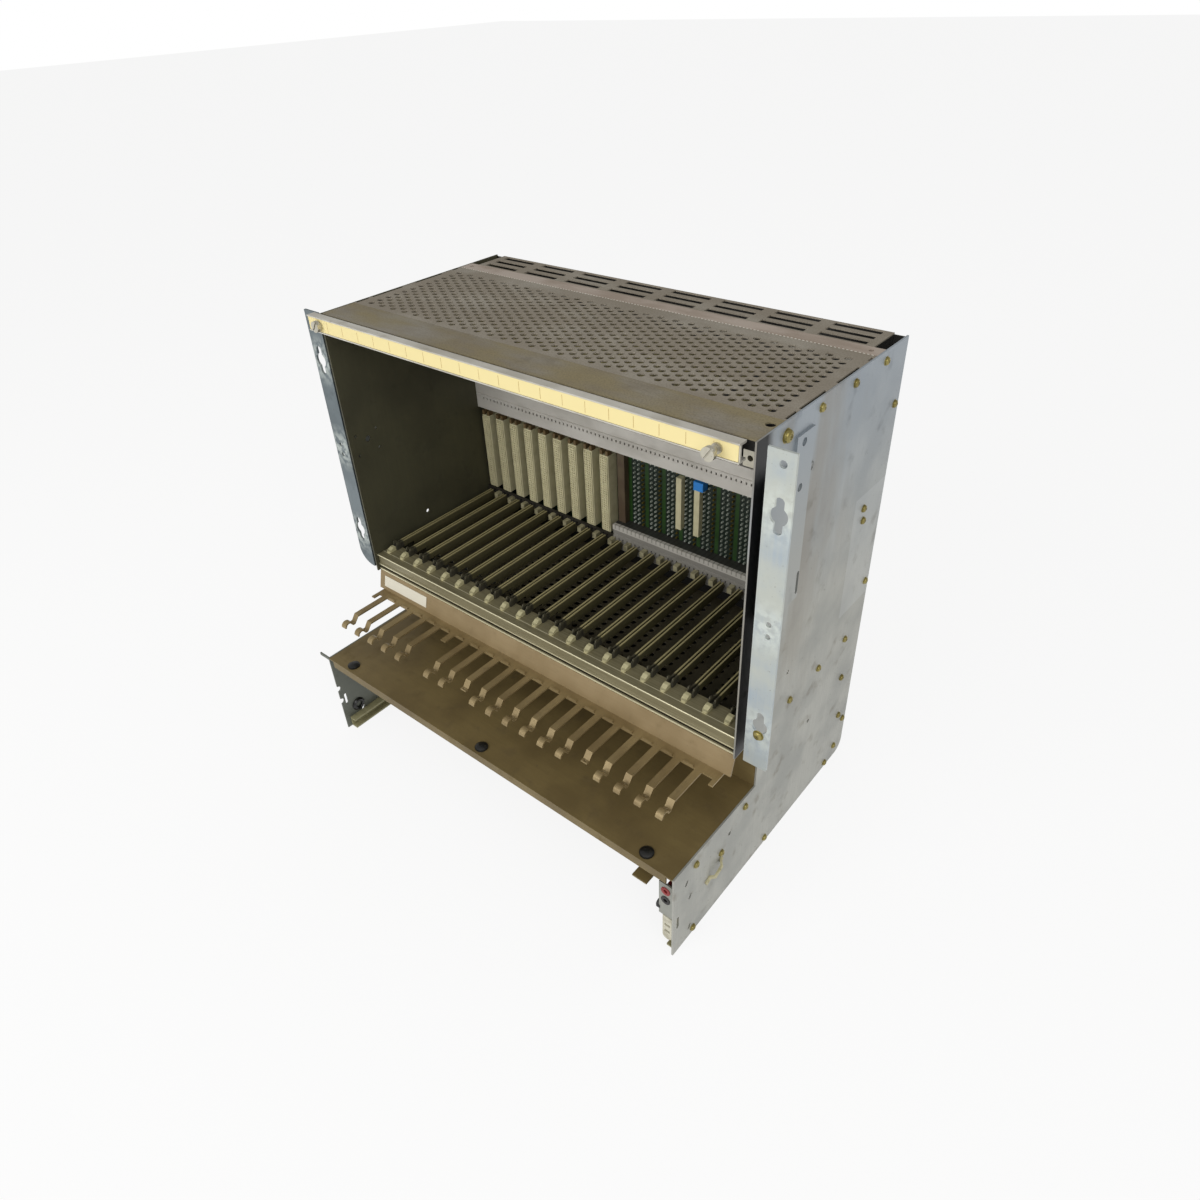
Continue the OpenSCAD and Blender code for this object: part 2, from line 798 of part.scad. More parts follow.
module connector_body() {
    difference() {
        span([-connector_w / 2, rail_y + 1, connector_z], [connector_w / 2, board_y, connector_z + connector_h]);
        for (k = [-1, 0, 1])
            span([k * 2.54 - 0.45, rail_y, connector_z + 4],
                 [k * 2.54 + 0.45, rail_y + 4, connector_z + connector_h - 4]);
    }
    for (k = [-1, 1])
        span([k * 3.6 - 1.5, rail_y + 3, connector_z + connector_h],
             [k * 3.6 + 1.5, rail_y + 9, connector_z + connector_h + 5]);
}

module connector_blocks() {
    color("#a59e78")
        for (i = [0 : connector_count - 1])
            translate([slot_x(i), 0, 0])
                connector_body();
}

module end_divider() {
    x = slot_x(connector_count - 1) + 11.3;
    color("#4a3b2c")
        span([x, rail_y + 9, low_rail_top + clearance], [x + 8.4, board_y, mid_rail_z - clearance]);
}

module narrow_connectors() {
    color("#c9c4ab")
        for (k = [0, 1])
            translate([slot_x(connector_count + 3 + k) + 2, 0, mid_rail_z - 11.5 - k * 5.5])
                span([-3, board_y - 6, -55.5 + k * 5], [3, board_y, 0]);
}

module connector_cap() {
    color("#2d78c8")
        translate([slot_x(connector_count + 4) + 2, 0, mid_rail_z - 17])
            span([-2.6, board_y - 8, clearance], [7.7, board_y, 9]);
}

// ---------- fascia and cable comb ----------

module fascia_strip() {
    z1 = notch_top - clearance;
    t = 1.5;
    color("#8c735a")
        along_x(-inner_half, inner_half)
            polygon([[fascia_top_y, z1], [fascia_y, comb_z + comb_t], [fascia_y + t, comb_z + comb_t],
                     [fascia_top_y + t, z1 - t], [fascia_top_y + 16, z1 - t], [fascia_top_y + 16, z1]]);
}

module fascia_label() {
    z1 = notch_top - 4;
    slope = fascia_lean / (notch_top - comb_z - comb_t);
    t = 0.5;
    color("#beb496")
        along_x(-comb_half + 2, -comb_half + 2 + label_len)
            polygon([[fascia_top_y - 4 * slope - clearance, z1],
                     [fascia_top_y - (notch_top - comb_z - 6) * slope - clearance, comb_z + 6],
                     [fascia_top_y - (notch_top - comb_z - 6) * slope - clearance - t, comb_z + 6],
                     [fascia_top_y - 4 * slope - clearance - t, z1]]);
}

// Side view of a finger: straight arm, drop, saddle and rounded hook. hooked is false where it broke off
module finger_side(hooked) {
    y0 = comb_root_y;
    y1 = y0 - finger_reach;
    z = comb_z;
    t = comb_t;
    polygon([[y0 + finger_root, z], [y0 + finger_root, z + t - clearance / 2], [y0, z + t - clearance / 2],
             [y0, z + t], [y1, z + t], [y1 - 4.6, z - 4.4], [y1 - 8, z - 4.4],
             [y1 - 8, z - 4.4 - t], [y1 - 5.4, z - 4.4 - t], [y1 - 0.6, z]]);
    if (hooked)
        translate([y1 - 12.2, z - 4.4 - t / 2])
            difference() {
                circle(r = 4.2 + t / 2, $fn = hole_fn);
                circle(r = 4.2 - t / 2, $fn = hole_fn);
                translate([-8, -16])
                    square([16, 16]);
            }
}

module finger(x, hooked, w) {
    y1 = comb_root_y - finger_reach;
    difference() {
        along_x(x - w / 2, x + w / 2)
            finger_side(hooked);
        translate([x, y1 - 6.4, comb_z - 10])
            cylinder(d = 2.4, h = 12, $fn = hole_fn);
    }
}

BROKEN_FINGERS = [8, 15];
LOST_FINGERS = [5];

module cable_comb() {
    y0 = fascia_y + 5;
    window_w = slot_pitch - finger_w;
    color("#8c7855") {
        span([-comb_half, comb_root_y, comb_z], [comb_half, y0, comb_z + comb_t - clearance / 2]);
        for (i = [0 : slot_count - 2]) {
            x = slot_x(i) + slot_pitch / 2;
            lost = len([for (k = LOST_FINGERS) if (k == i) k]) > 0;
            broken = len([for (k = BROKEN_FINGERS) if (k == i) k]) > 0;
            if (lost)
                span([x - finger_w / 2, comb_root_y - 12, comb_z], [x + finger_w / 2, comb_root_y, comb_z + comb_t]);
            else
                finger(x, !broken, finger_w);
        }
        for (i = [1 : slot_count - 2])
            span([slot_x(i) - window_w / 2 + 2, comb_root_y, comb_z],
                 [slot_x(i) + window_w / 2 - 2, comb_root_y + comb_t, comb_z + 3.2]);
        for (s = [-1, 1])
            span([s * (comb_half - 2) - 2, comb_root_y - 7, comb_z], [s * (comb_half - 2) + 2, comb_root_y, comb_z + comb_t]);
    }
}

// ---------- tray ----------

module cable_tray() {
    wall_top = foot_h + 42;
    half = inner_half;
    color("#6e583c")
        difference() {
            union() {
                span([-half, front_y, foot_h - tray_t], [half, notch_y, foot_h]);
                span([-half + 6, front_y, foot_h - tray_lip_h], [half - 6, front_y + tray_t, foot_h - tray_t]);
                span([-half, notch_y, foot_h - tray_t], [half, notch_y + tray_t, wall_top]);
                for (s = [0, 1])
                    mirror([s, 0, 0])
                        span([half - tray_t, front_y + 14, foot_h - tray_flange_h], [half, notch_y, foot_h - tray_t]);
            }
            for (i = [0 : 1])
                x_rod(-half - cut, half + cut, tray_screw_y + i * tray_screw_pitch, foot_h - tray_flange_h / 2, screw_d);
        }
}

module tray_bumpers() {
    color("#1c1a18")
        for (i = [-1 : 1])
            translate([i * (inner_half - 30), front_y + 8.3, foot_h]) {
                cylinder(d = 12, h = 1.2, $fn = round_fn);
                translate([0, 0, 1.2])
                    intersection() {
                        translate([0, 0, -8])
                            sphere(r = 10, $fn = round_fn);
                        cylinder(d = 11, h = 3, $fn = round_fn);
                    }
            }
}

module lip_tongue() {
    x0 = inner_half - 39.5;
    w = 14.2;
    z0 = foot_h - 28;
    color("#4a3f2c") {
        span([x0, front_y + 1, z0], [x0 + w, front_y + 22, z0 + 1.5]);
        span([x0, front_y + 20.5, z0 + 1.5], [x0 + w, front_y + 22, foot_h - tray_t]);
    }
}

// ---------- foot ----------

module bottom_runners() {
    color("#8b8662")
        for (s = [0, 1])
            mirror([s, 0, 0])
                difference() {
                    along_x(inner_half - runner_w, inner_half)
                        translate([runner_y, 0])
                            square([rear_y - runner_y - 16, runner_h]);
                    along_x(inner_half - runner_w - cut, inner_half - 2)
                        translate([runner_y - cut, 2])
                            square([rear_y, runner_h - 4]);
                    for (i = [0 : 2])
                        x_rod(inner_half - 3, inner_half + cut, runner_screw_y + i * runner_screw_pitch, runner_h / 2, screw_d);
                }
}

module socket_bracket() {
    z0 = bracket_top - bracket_h;
    color("#9d9f97")
        difference() {
            union() {
                span([inner_half - bracket_w, front_y + 1, z0], [inner_half, front_y + 2.5, bracket_top]);
                span([inner_half - 1.5, front_y + 2.5, z0], [inner_half, front_y + 13, bracket_top]);
            }
            for (k = [0, 1])
                y_rod(front_y, front_y + 4, socket_x, bracket_top - 8 - k * 11.5, 6);
        }
}

// Round test socket with a flange, along +Y
module socket(z) {
    difference() {
        union() {
            y_rod(front_y + 0.4, front_y + 1, socket_x, z, 8.4);
            y_rod(front_y + 1, front_y + 12, socket_x, z, 6 - 2 * clearance);
        }
        y_rod(front_y, front_y + 9, socket_x, z, 3.6);
    }
}

module red_socket() {
    color("#8e2b2b")
        socket(bracket_top - 8);
}

module black_socket() {
    color("#1d1c1b")
        socket(bracket_top - 8 - 11.5);
}

module terminal_block() {
    z1 = bracket_top - bracket_h - clearance;
    z0 = runner_h + 5;
    color("#b9b6a2")
        difference() {
            union() {
                span([inner_half - 9, front_y + 0.5, z0 + 4], [inner_half, front_y + 16, z1]);
                y_rod(front_y + 0.5, front_y + 16, inner_half - 4.5, z0 + 4.5, 9);
            }
            for (k = [0, 1])
                span([inner_half - 7, front_y, z0 + 9 + k * 8], [inner_half - 2, front_y + 8, z0 + 12 + k * 8]);
        }
}

// Strap clip on the right plate: two feet and a raised middle, seen from the front end
module cable_clip() {
    lean = 23;
    strap_t = 1.2;
    strap_w = 5;
    half_len = 13;
    rise = 3.4;
    color("#c9c088")
        translate([plate_out + 0.1, front_y + 57, foot_h - 47.5])
            rotate([lean, 0, 0])
                difference() {
                    translate([0, 0, -strap_w / 2])
                        linear_extrude(strap_w)
                            polygon([[0, -half_len], [strap_t, -half_len], [strap_t, -half_len + 6],
                                     [strap_t + rise, -half_len + 9], [strap_t + rise, half_len - 6],
                                     [strap_t, half_len - 2], [strap_t, half_len], [0, half_len],
                                     [0, half_len - 3], [rise, half_len - 7], [rise, -half_len + 9.6],
                                     [0, -half_len + 7]]);
                    for (place = [-half_len + 3, half_len - 10])
                        x_rod(-cut, strap_t + rise + cut, place, 0, 2.2);
                }
}

// ---------- assembly ----------

side_plate_left();
side_plate_right();
ear_bracket_left();
ear_bracket_right();
top_front_rail();
perforated_cover();
contact_strip();
rear_cross_bar();
louvre_cover();
rear_panel();
locking_bar();
locking_bar_label();
locking_screws();
locking_blocks();
front_lower_rail();
middle_rear_rail();
lower_rear_rail();
floor_grille();
for (i = [0 : slot_count - 1]) card_guide(i);
upper_card_guides();
guide_clips();
guide_spacers();
backplane_board();
connector_blocks();
end_divider();
narrow_connectors();
connector_cap();
fascia_strip();
fascia_label();
cable_comb();
cable_tray();
tray_bumpers();
bottom_runners();
socket_bracket();
red_socket();
black_socket();
terminal_block();
lip_tongue();
cable_clip();
side_screws();
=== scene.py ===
"""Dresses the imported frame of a 19 inch subrack card cage: finishes, small parts, light and camera.

Shapes are modelled in millimetres in the row frame and turned to metres when a piece is done.
"""

import logging
import math
import random
from collections.abc import Iterable, Sequence
from dataclasses import dataclass, field
from enum import Enum

import bmesh
import bpy
from mathutils import Matrix, Vector


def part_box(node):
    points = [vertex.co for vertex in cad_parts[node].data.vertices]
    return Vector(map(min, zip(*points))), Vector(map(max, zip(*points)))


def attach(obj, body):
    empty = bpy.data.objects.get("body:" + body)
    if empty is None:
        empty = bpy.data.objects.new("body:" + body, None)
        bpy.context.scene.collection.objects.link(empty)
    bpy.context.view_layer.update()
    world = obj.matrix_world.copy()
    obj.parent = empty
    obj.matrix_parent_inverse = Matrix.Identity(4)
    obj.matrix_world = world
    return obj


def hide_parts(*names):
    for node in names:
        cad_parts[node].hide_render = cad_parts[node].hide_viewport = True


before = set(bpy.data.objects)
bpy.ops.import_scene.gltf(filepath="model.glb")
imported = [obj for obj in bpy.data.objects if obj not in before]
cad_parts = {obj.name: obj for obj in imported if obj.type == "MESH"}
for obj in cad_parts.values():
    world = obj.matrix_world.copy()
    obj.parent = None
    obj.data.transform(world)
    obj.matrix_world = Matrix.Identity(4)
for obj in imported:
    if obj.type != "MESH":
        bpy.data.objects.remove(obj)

MM = 0.001
SEED = 7
# Tones laid over a surface by place, and what each reads as.
BLUE_CAST = "#94a2b2"  # sky blue of fresh zinc where the upper sheet is least handled
BROWN_CLOUD = "#8b8375"  # thin brown soiling that dulls the zinc
CLEAN_BAND = "#c2c6c6"  # zinc kept bright where another sheet covered it
GAP_SHADE = "#101113"  # darkness of the slit between plate and ear
INNER_SHADE = "#15130f"  # unlit inner face under the louvres
FOOT_DARK_BAND = "#3a372f"  # darker band along the foot of the rear rail
COVERED_SHADE = "#25221b"  # rail in the shade of the connectors
BOARD_CLOUD = "#101c10"  # uneven lacquer on the board
SMUDGE = "#5c4a20"  # fingermarks in the film
# Pitch of the rear rail's windows, in mm.
WINDOW_PITCH = 5.08
log = logging.getLogger("card_cage")


class Axis(Enum):
    """The three directions of the row frame."""

    X = Vector((1, 0, 0))
    Y = Vector((0, 1, 0))
    Z = Vector((0, 0, 1))


# ---------- shading ----------


def to_linear(colour: str) -> tuple[float, float, float, float]:
    """Turns an sRGB hex colour into linear values.

    Args:
        colour: six hex digits after a hash sign.

    Returns:
        Red, green, blue and an alpha of one.
    """
    parts = [int(colour[i : i + 2], 16) / 255 for i in (1, 3, 5)]
    linear = [p / 12.92 if p <= 0.04045 else ((p + 0.055) / 1.055) ** 2.4 for p in parts]
    return (*linear, 1.0)


class Brew:
    """One material while its nodes are put together."""

    def __init__(self, name: str) -> None:
        """Starts an empty material with object coordinates ready.

        Args:
            name: the material's name.
        """
        self.material = bpy.data.materials.new(name)
        self.material.use_nodes = True
        self.tree = self.material.node_tree
        self.tree.nodes.clear()
        self.place = self.add("ShaderNodeTexCoord").outputs["Object"]

    def add(self, kind: str, inputs: dict | None = None, **settings: object) -> bpy.types.Node:
        """Adds a node with its settings and links.

        Args:
            kind: the node's type name.
            inputs: socket name or number to a value, or to the socket that feeds it.
            **settings: properties of the node.

        Returns:
            The new node.
        """
        node = self.tree.nodes.new(kind)
        for key, value in settings.items():
            setattr(node, key, value)
        for key, value in (inputs or {}).items():
            if isinstance(value, bpy.types.NodeSocket):
                self.tree.links.new(value, node.inputs[key])
            else:
                node.inputs[key].default_value = value
        return node

    def mask(
        self,
        size_mm: float,
        low: float,
        high: float,
        stretch: Sequence[float] = (1, 1, 1),
        detail: float = 4,
        shift: float = 0,
    ) -> bpy.types.NodeSocket:
        """A cloudy mask from 0 to 1.

        Args:
            size_mm: size of one cloud.
            low: noise value where the mask starts.
            high: noise value where the mask is full.
            stretch: how much longer a cloud is along each axis.
            detail: levels of finer noise.
            shift: moves the pattern, so that two masks differ.

        Returns:
            The mask's socket.
        """
        scale = [1 / (size_mm * MM * s) for s in stretch]
        moved = self.add(
            "ShaderNodeMapping", {"Vector": self.place, "Scale": scale, "Location": (shift,) * 3}
        )
        noise = self.add("ShaderNodeTexNoise", {"Vector": moved.outputs[0], "Scale": 1.0, "Detail": detail})
        spread = {"Value": noise.outputs["Fac"], "From Min": low, "From Max": high}
        return self.add("ShaderNodeMapRange", spread, interpolation_type="SMOOTHSTEP").outputs[0]

    def near(self, centre: Vector, reach_mm: float, edge_mm: float) -> bpy.types.NodeSocket:
        """A mask that is 1 round a point and falls to 0.

        Args:
            centre: the point, in millimetres.
            reach_mm: distance at which the mask is gone.
            edge_mm: width of the soft edge inside that.

        Returns:
            The mask's socket.
        """
        gap = self.add("ShaderNodeVectorMath", {0: self.place, 1: centre * MM}, operation="DISTANCE")
        spread = {
            "Value": gap.outputs["Value"], "From Min": reach_mm * MM, "From Max": (reach_mm - edge_mm) * MM
        }
        return self.add("ShaderNodeMapRange", spread).outputs[0]

    def beyond(self, axis: Axis, start_mm: float, end_mm: float) -> bpy.types.NodeSocket:
        """A mask that rises from 0 to 1 along an axis.

        Args:
            axis: the direction.
            start_mm: where it is 0.
            end_mm: where it is 1.

        Returns:
            The mask's socket.
        """
        along = self.add("ShaderNodeSeparateXYZ", {0: self.place}).outputs[axis.name]
        spread = {"Value": along, "From Min": start_mm * MM, "From Max": end_mm * MM}
        return self.add("ShaderNodeMapRange", spread).outputs[0]

    def band(self, axis: Axis, centre_mm: float, half_mm: float) -> bpy.types.NodeSocket:
        """A mask that is 1 in a straight band across an axis.

        Args:
            axis: the direction.
            centre_mm: the band's middle.
            half_mm: half its width.

        Returns:
            The mask's socket.
        """
        along = self.add("ShaderNodeSeparateXYZ", {0: self.place}).outputs[axis.name]
        spread = {0: along, 1: centre_mm * MM, 2: half_mm * MM}
        return self.add("ShaderNodeMath", spread, operation="COMPARE").outputs[0]

    def times(self, a: bpy.types.NodeSocket, b: bpy.types.NodeSocket | float) -> bpy.types.NodeSocket:
        """The product of two masks."""
        return self.add("ShaderNodeMath", {0: a, 1: b}, operation="MULTIPLY").outputs[0]

    def over(
        self, under: bpy.types.NodeSocket | str, colour: str, mask: bpy.types.NodeSocket
    ) -> bpy.types.NodeSocket:
        """Lays a colour over another through a mask.

        Args:
            under: the colour below, as hex or as a socket.
            colour: the colour above, as hex.
            mask: where it shows.

        Returns:
            The mixed colour's socket.
        """
        base = to_linear(under) if isinstance(under, str) else under
        return self.add(
            "ShaderNodeMixRGB", {"Fac": mask, "Color1": base, "Color2": to_linear(colour)}
        ).outputs[0]

    def level(self, mask: bpy.types.NodeSocket, at_zero: float, at_one: float) -> bpy.types.NodeSocket:
        """Spreads a mask between two values, as for roughness."""
        return self.add("ShaderNodeMapRange", {"Value": mask, "To Min": at_zero, "To Max": at_one}).outputs[0]

    def relief(
            self, height: bpy.types.NodeSocket, depth_mm: float, strength: float = 1.0
    ) -> bpy.types.NodeSocket:
        """Turns a mask into surface relief.

        Args:
            height: the mask, 1 at the top.
            depth_mm: depth from 1 to 0.
            strength: how much of it shows.

        Returns:
            The normal's socket.
        """
        bump = {"Height": height, "Distance": depth_mm * MM, "Strength": strength}
        return self.add("ShaderNodeBump", bump).outputs[0]

    def surface(self, **sockets: object) -> bpy.types.Material:
        """Ends the material in one principled surface.

        Args:
            **sockets: socket names with underscores for spaces, and their values or feeds.

        Returns:
            The finished material.
        """
        inputs = {key.replace("_", " "): value for key, value in sockets.items()}
        shader = self.add("ShaderNodeBsdfPrincipled", inputs)
        self.add("ShaderNodeOutputMaterial", {"Surface": shader.outputs[0]})
        return self.material


@dataclass(frozen=True)
class Finish:
    """A finish of the cage: its name, the record's slot and its main colour."""

    name: str
    slot: str
    colour: str

    def material(self) -> bpy.types.Material:
        """The finish's material, made once."""
        known = bpy.data.materials.get(self.name)
        return known if known else self.brewed()

    def brewed(self) -> bpy.types.Material:
        """Builds the material. Each kind of finish has its own."""
        raise NotImplementedError


@dataclass(frozen=True)
class PlatedSheet(Finish):
    """Zinc plated or chromated steel sheet: dull, streaked along one way, with stains and fine specks."""

    cloud: str = "#9a9c98"
    stain: str = "#7b7468"
    speck: str = "#5a4c3c"
    stain_share: float = 0.5
    speck_share: float = 0.5
    roughness: float = 0.45
    metallic: float = 0.7
    grain: Axis = Axis.Z

    def brewed(self) -> bpy.types.Material:
        """Clouds and stains of some centimetres, rolling streaks, and specks of a millimetre."""
        brew = Brew(self.name)
        return brew.surface(**self.layers(brew))

    def layers(self, brew: Brew) -> dict:
        """The sheet's sockets, so that a special sheet can add to them.

        Args:
            brew: the material in hand.

        Returns:
            Socket names to feeds.
        """
        long_way = [18.0 if axis is self.grain else 1.0 for axis in Axis]
        clouds = brew.mask(45, 0.35, 0.7)
        streaks = brew.mask(2.2, 0.3, 0.75, stretch=long_way, detail=3)
        stains = brew.mask(17, 0.62 - 0.12 * self.stain_share, 0.78, detail=6, shift=3)
        specks = brew.mask(1.9, 0.72 - 0.06 * self.speck_share, 0.76, detail=2, shift=9)
        colour = brew.over(self.colour, self.cloud, clouds)
        colour = brew.over(colour, self.cloud, brew.times(streaks, 0.35))
        colour = brew.over(colour, self.stain, brew.times(stains, 0.75 * self.stain_share))
        colour = brew.over(colour, self.speck, brew.times(specks, self.speck_share))
        fine = brew.mask(0.8, 0.2, 0.8, stretch=long_way, detail=2, shift=5)
        return {
            "Base_Color": colour,
            "Metallic": self.metallic,
            "Roughness": brew.level(stains, self.roughness, self.roughness + 0.25),
            "Normal": brew.relief(fine, 0.02, 0.5),
        }


@dataclass(frozen=True)
class OuterPlate(PlatedSheet):
    """Right side plate: blue zinc towards the top, brown handling stains, a cleaner band at the back."""

    def brewed(self) -> bpy.types.Material:
        """Adds the blue cast, brown cloud, clean band and painted shade in the gap by the ear."""
        brew = Brew(self.name)
        sockets = self.layers(brew)
        ear = node_box("ear_bracket_right")
        rail = node_box("middle_rear_rail")
        colour = sockets["Base_Color"]
        high = brew.beyond(Axis.Z, ear.middle.z - 60, ear.high.z)
        colour = brew.over(colour, BLUE_CAST, brew.times(high, 0.62))
        cloud = brew.mask(60, 0.42, 0.66, stretch=(1, 0.6, 2.2), detail=5, shift=6)
        brown = brew.times(cloud, brew.beyond(Axis.Y, rail.low.y + 20, ear.low.y + 40))
        upper = brew.beyond(Axis.Z, ear.low.z - 60, ear.middle.z)
        colour = brew.over(colour, BROWN_CLOUD, brew.times(brew.times(brown, upper), 0.8))
        band = brew.times(
            brew.beyond(Axis.Y, rail.low.y - 1, rail.low.y), brew.band(Axis.Z, rail.low.z - 30, 58)
        )
        colour = brew.over(colour, CLEAN_BAND, brew.times(band, 0.3))
        # Painted shade: the plate's outer face in the slit behind the ear is coloured near black.
        gap = brew.times(
            brew.beyond(Axis.Y, ear.low.y + 18, ear.low.y + 10), brew.beyond(Axis.Z, ear.low.z - 2, ear.low.z)
        )
        face = node_box("side_plate_right").high.x
        outside = brew.beyond(Axis.X, face - 0.3, face - 0.1)
        sockets["Base_Color"] = brew.over(colour, GAP_SHADE, brew.times(gap, outside))
        return brew.surface(**sockets)


@dataclass(frozen=True)
class InnerPlate(PlatedSheet):
    """Left side plate, seen from inside: olive film darkened by painted shade in the card bay, greyer below
    the tray.
    """

    foot: str = "#73776f"

    def brewed(self) -> bpy.types.Material:
        """Adds the grey of the foot under the film's lower edge."""
        brew = Brew(self.name)
        sockets = self.layers(brew)
        tray = node_box("cable_tray")
        below = brew.beyond(Axis.Z, tray.high.z + 20, tray.high.z)
        sockets["Base_Color"] = brew.over(sockets["Base_Color"], self.foot, brew.times(below, 0.85))
        return brew.surface(**sockets)


@dataclass(frozen=True)
class BackSheet(PlatedSheet):
    """Back wall: plated outside, painted near black inside as painted shade."""

    inside: str = "#1b1a17"

    def brewed(self) -> bpy.types.Material:
        """Paints shade near black on everything in front of the wall's outer face."""
        brew = Brew(self.name)
        sockets = self.layers(brew)
        outer = node_box("rear_panel").high.y
        # Painted shade: the inner face of the back wall is coloured near black.
        inner = brew.beyond(Axis.Y, outer - 0.6, outer - 0.8)
        sockets["Base_Color"] = brew.over(sockets["Base_Color"], self.inside, inner)
        return brew.surface(**sockets)


@dataclass(frozen=True)
class EarSheet(PlatedSheet):
    """Sheet of the rack ears, with pale corroded patches round the screw slots."""

    patch: str = "#dfe6df"
    back: str = "#a6a8a4"
    side: int = 1

    def brewed(self) -> bpy.types.Material:
        """Adds a ragged pale patch round each place where a rack screw sat."""
        brew = Brew(self.name)
        sockets = self.layers(brew)
        low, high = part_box("ear_bracket_right")
        mid = (low + high) / 2 / MM
        colour = sockets["Base_Color"]
        ragged = brew.mask(6, 0.35, 0.6, detail=5, shift=2)
        for rise in (0.33, 0.0, -0.36):
            centre = Vector((self.side * (high.x / MM - 9), low.y / MM, mid.z + rise * (high.z - low.z) / MM))
            patch = brew.times(brew.near(centre, 26, 20), ragged)
            colour = brew.over(colour, self.patch, brew.times(patch, 0.6))
        behind = brew.beyond(Axis.Y, low.y / MM + 2.3, low.y / MM + 2.6)
        colour = brew.over(colour, self.back, behind)
        high_up = brew.beyond(Axis.Z, mid.z + 20, high.z / MM)
        sockets["Base_Color"] = brew.over(colour, BLUE_CAST, brew.times(brew.times(behind, high_up), 0.6))
        return brew.surface(**sockets)


@dataclass(frozen=True)
class DustySheet(PlatedSheet):
    """Top sheet of the cage under years of settled dust."""

    dust: str = "#8e8577"

    def brewed(self) -> bpy.types.Material:
        """Adds a dust layer of patches and lint over the plated sheet, and painted shade on the inner face
        under the louvres.
        """
        brew = Brew(self.name)
        sockets = self.layers(brew)
        settled = brew.mask(28, 0.3, 0.62, stretch=(2.5, 1, 1), detail=7, shift=4)
        lint = brew.mask(1.4, 0.4, 0.7, detail=3, shift=8)
        colour = brew.over(sockets["Base_Color"], self.dust, brew.times(settled, 0.8))
        colour = brew.over(colour, self.stain, brew.times(lint, 0.35))
        sheet = node_box("louvre_cover").high
        # Painted shade: the face under the louvre cover is coloured near black.
        under = brew.times(
            brew.beyond(Axis.Z, sheet.z - 1, sheet.z - 1.15),
            brew.beyond(Axis.Y, sheet.y - 0.4, sheet.y - 0.6)
        )
        sockets["Base_Color"] = brew.over(colour, INNER_SHADE, under)
        sockets["Roughness"] = brew.level(settled, self.roughness, 0.8)
        sockets["Normal"] = brew.relief(lint, 0.08, 0.4)
        return brew.surface(**sockets)


@dataclass(frozen=True)
class Extrusion(Finish):
    """Drawn aluminium rail: fine die lines along it, lightened, and grime in clouds."""

    grime: str = "#4a4433"
    bright: str = "#d8d2b8"
    grime_share: float = 0.5
    roughness: float = 0.38
    metallic: float = 0.75

    def brewed(self) -> bpy.types.Material:
        """Die lines of half a millimetre, grime in clouds."""
        brew = Brew(self.name)
        lines = brew.mask(0.9, 0.3, 0.7, stretch=(60, 1, 1), detail=3)
        clouds = brew.mask(22, 0.4, 0.7, stretch=(2, 1, 1), detail=6, shift=2)
        colour = brew.over(self.colour, self.bright, brew.times(lines, 0.18))
        colour = brew.over(colour, self.grime, brew.times(clouds, self.grime_share))
        return brew.surface(
            Base_Color=colour,
            Metallic=self.metallic,
            Roughness=brew.level(clouds, self.roughness, self.roughness + 0.25),
            Normal=brew.relief(lines, 0.03, 0.6),
        )


@dataclass(frozen=True)
class RearRail(Extrusion):
    """Rear rail: bright front edge, with the ledge behind it darkened to a near black green."""

    ledge: str = "#161a14"

    def brewed(self) -> bpy.types.Material:
        """Darkens the upper ledge of the lower rail, except a bright edge of a few millimetres."""
        brew = Brew(self.name)
        rail = node_box("lower_rear_rail")
        lines = brew.mask(0.9, 0.3, 0.7, stretch=(60, 1, 1), detail=3)
        clouds = brew.mask(22, 0.4, 0.7, stretch=(2, 1, 1), detail=6, shift=2)
        colour = brew.over(self.colour, self.grime, brew.times(clouds, self.grime_share))
        across = brew.add("ShaderNodeSeparateXYZ", {0: brew.place}).outputs["X"]
        windows = {0: across, 1: 1 / (WINDOW_PITCH * MM)}
        marks = brew.add("ShaderNodeMath", windows, operation="MULTIPLY").outputs[0]
        marks = brew.add("ShaderNodeMath", {0: marks}, operation="FRACT").outputs[0]
        marks = brew.add("ShaderNodeMath", {0: marks, 1: 0.25}, operation="LESS_THAN").outputs[0]
        # The top ledge behind the front edge is coloured near black green.
        back = brew.times(
            brew.beyond(Axis.Y, rail.low.y + 4, rail.low.y + 4.3), brew.band(Axis.Z, rail.high.z, 0.3)
        )
        colour = brew.over(
            colour, self.grime, brew.times(marks, brew.times(brew.band(Axis.Z, rail.high.z, 4), 0.7))
        )
        colour = brew.over(colour, self.ledge, brew.times(back, 0.93))
        # A darker band along the foot of the rail; left of the end divider it takes painted shade of the
        # connectors.
        foot = brew.band(Axis.Z, rail.low.z + 10, 11.5)
        colour = brew.over(colour, FOOT_DARK_BAND, brew.times(foot, 0.55))
        covered = brew.beyond(Axis.X, node_box("end_divider").low.x, node_box("end_divider").low.x - 1)
        colour = brew.over(colour, COVERED_SHADE, brew.times(brew.times(foot, covered), 0.95))
        return brew.surface(
            Base_Color=colour,
            Metallic=self.metallic,
            Roughness=brew.level(clouds, self.roughness, self.roughness + 0.25),
            Normal=brew.relief(lines, 0.03, 0.6),
        )


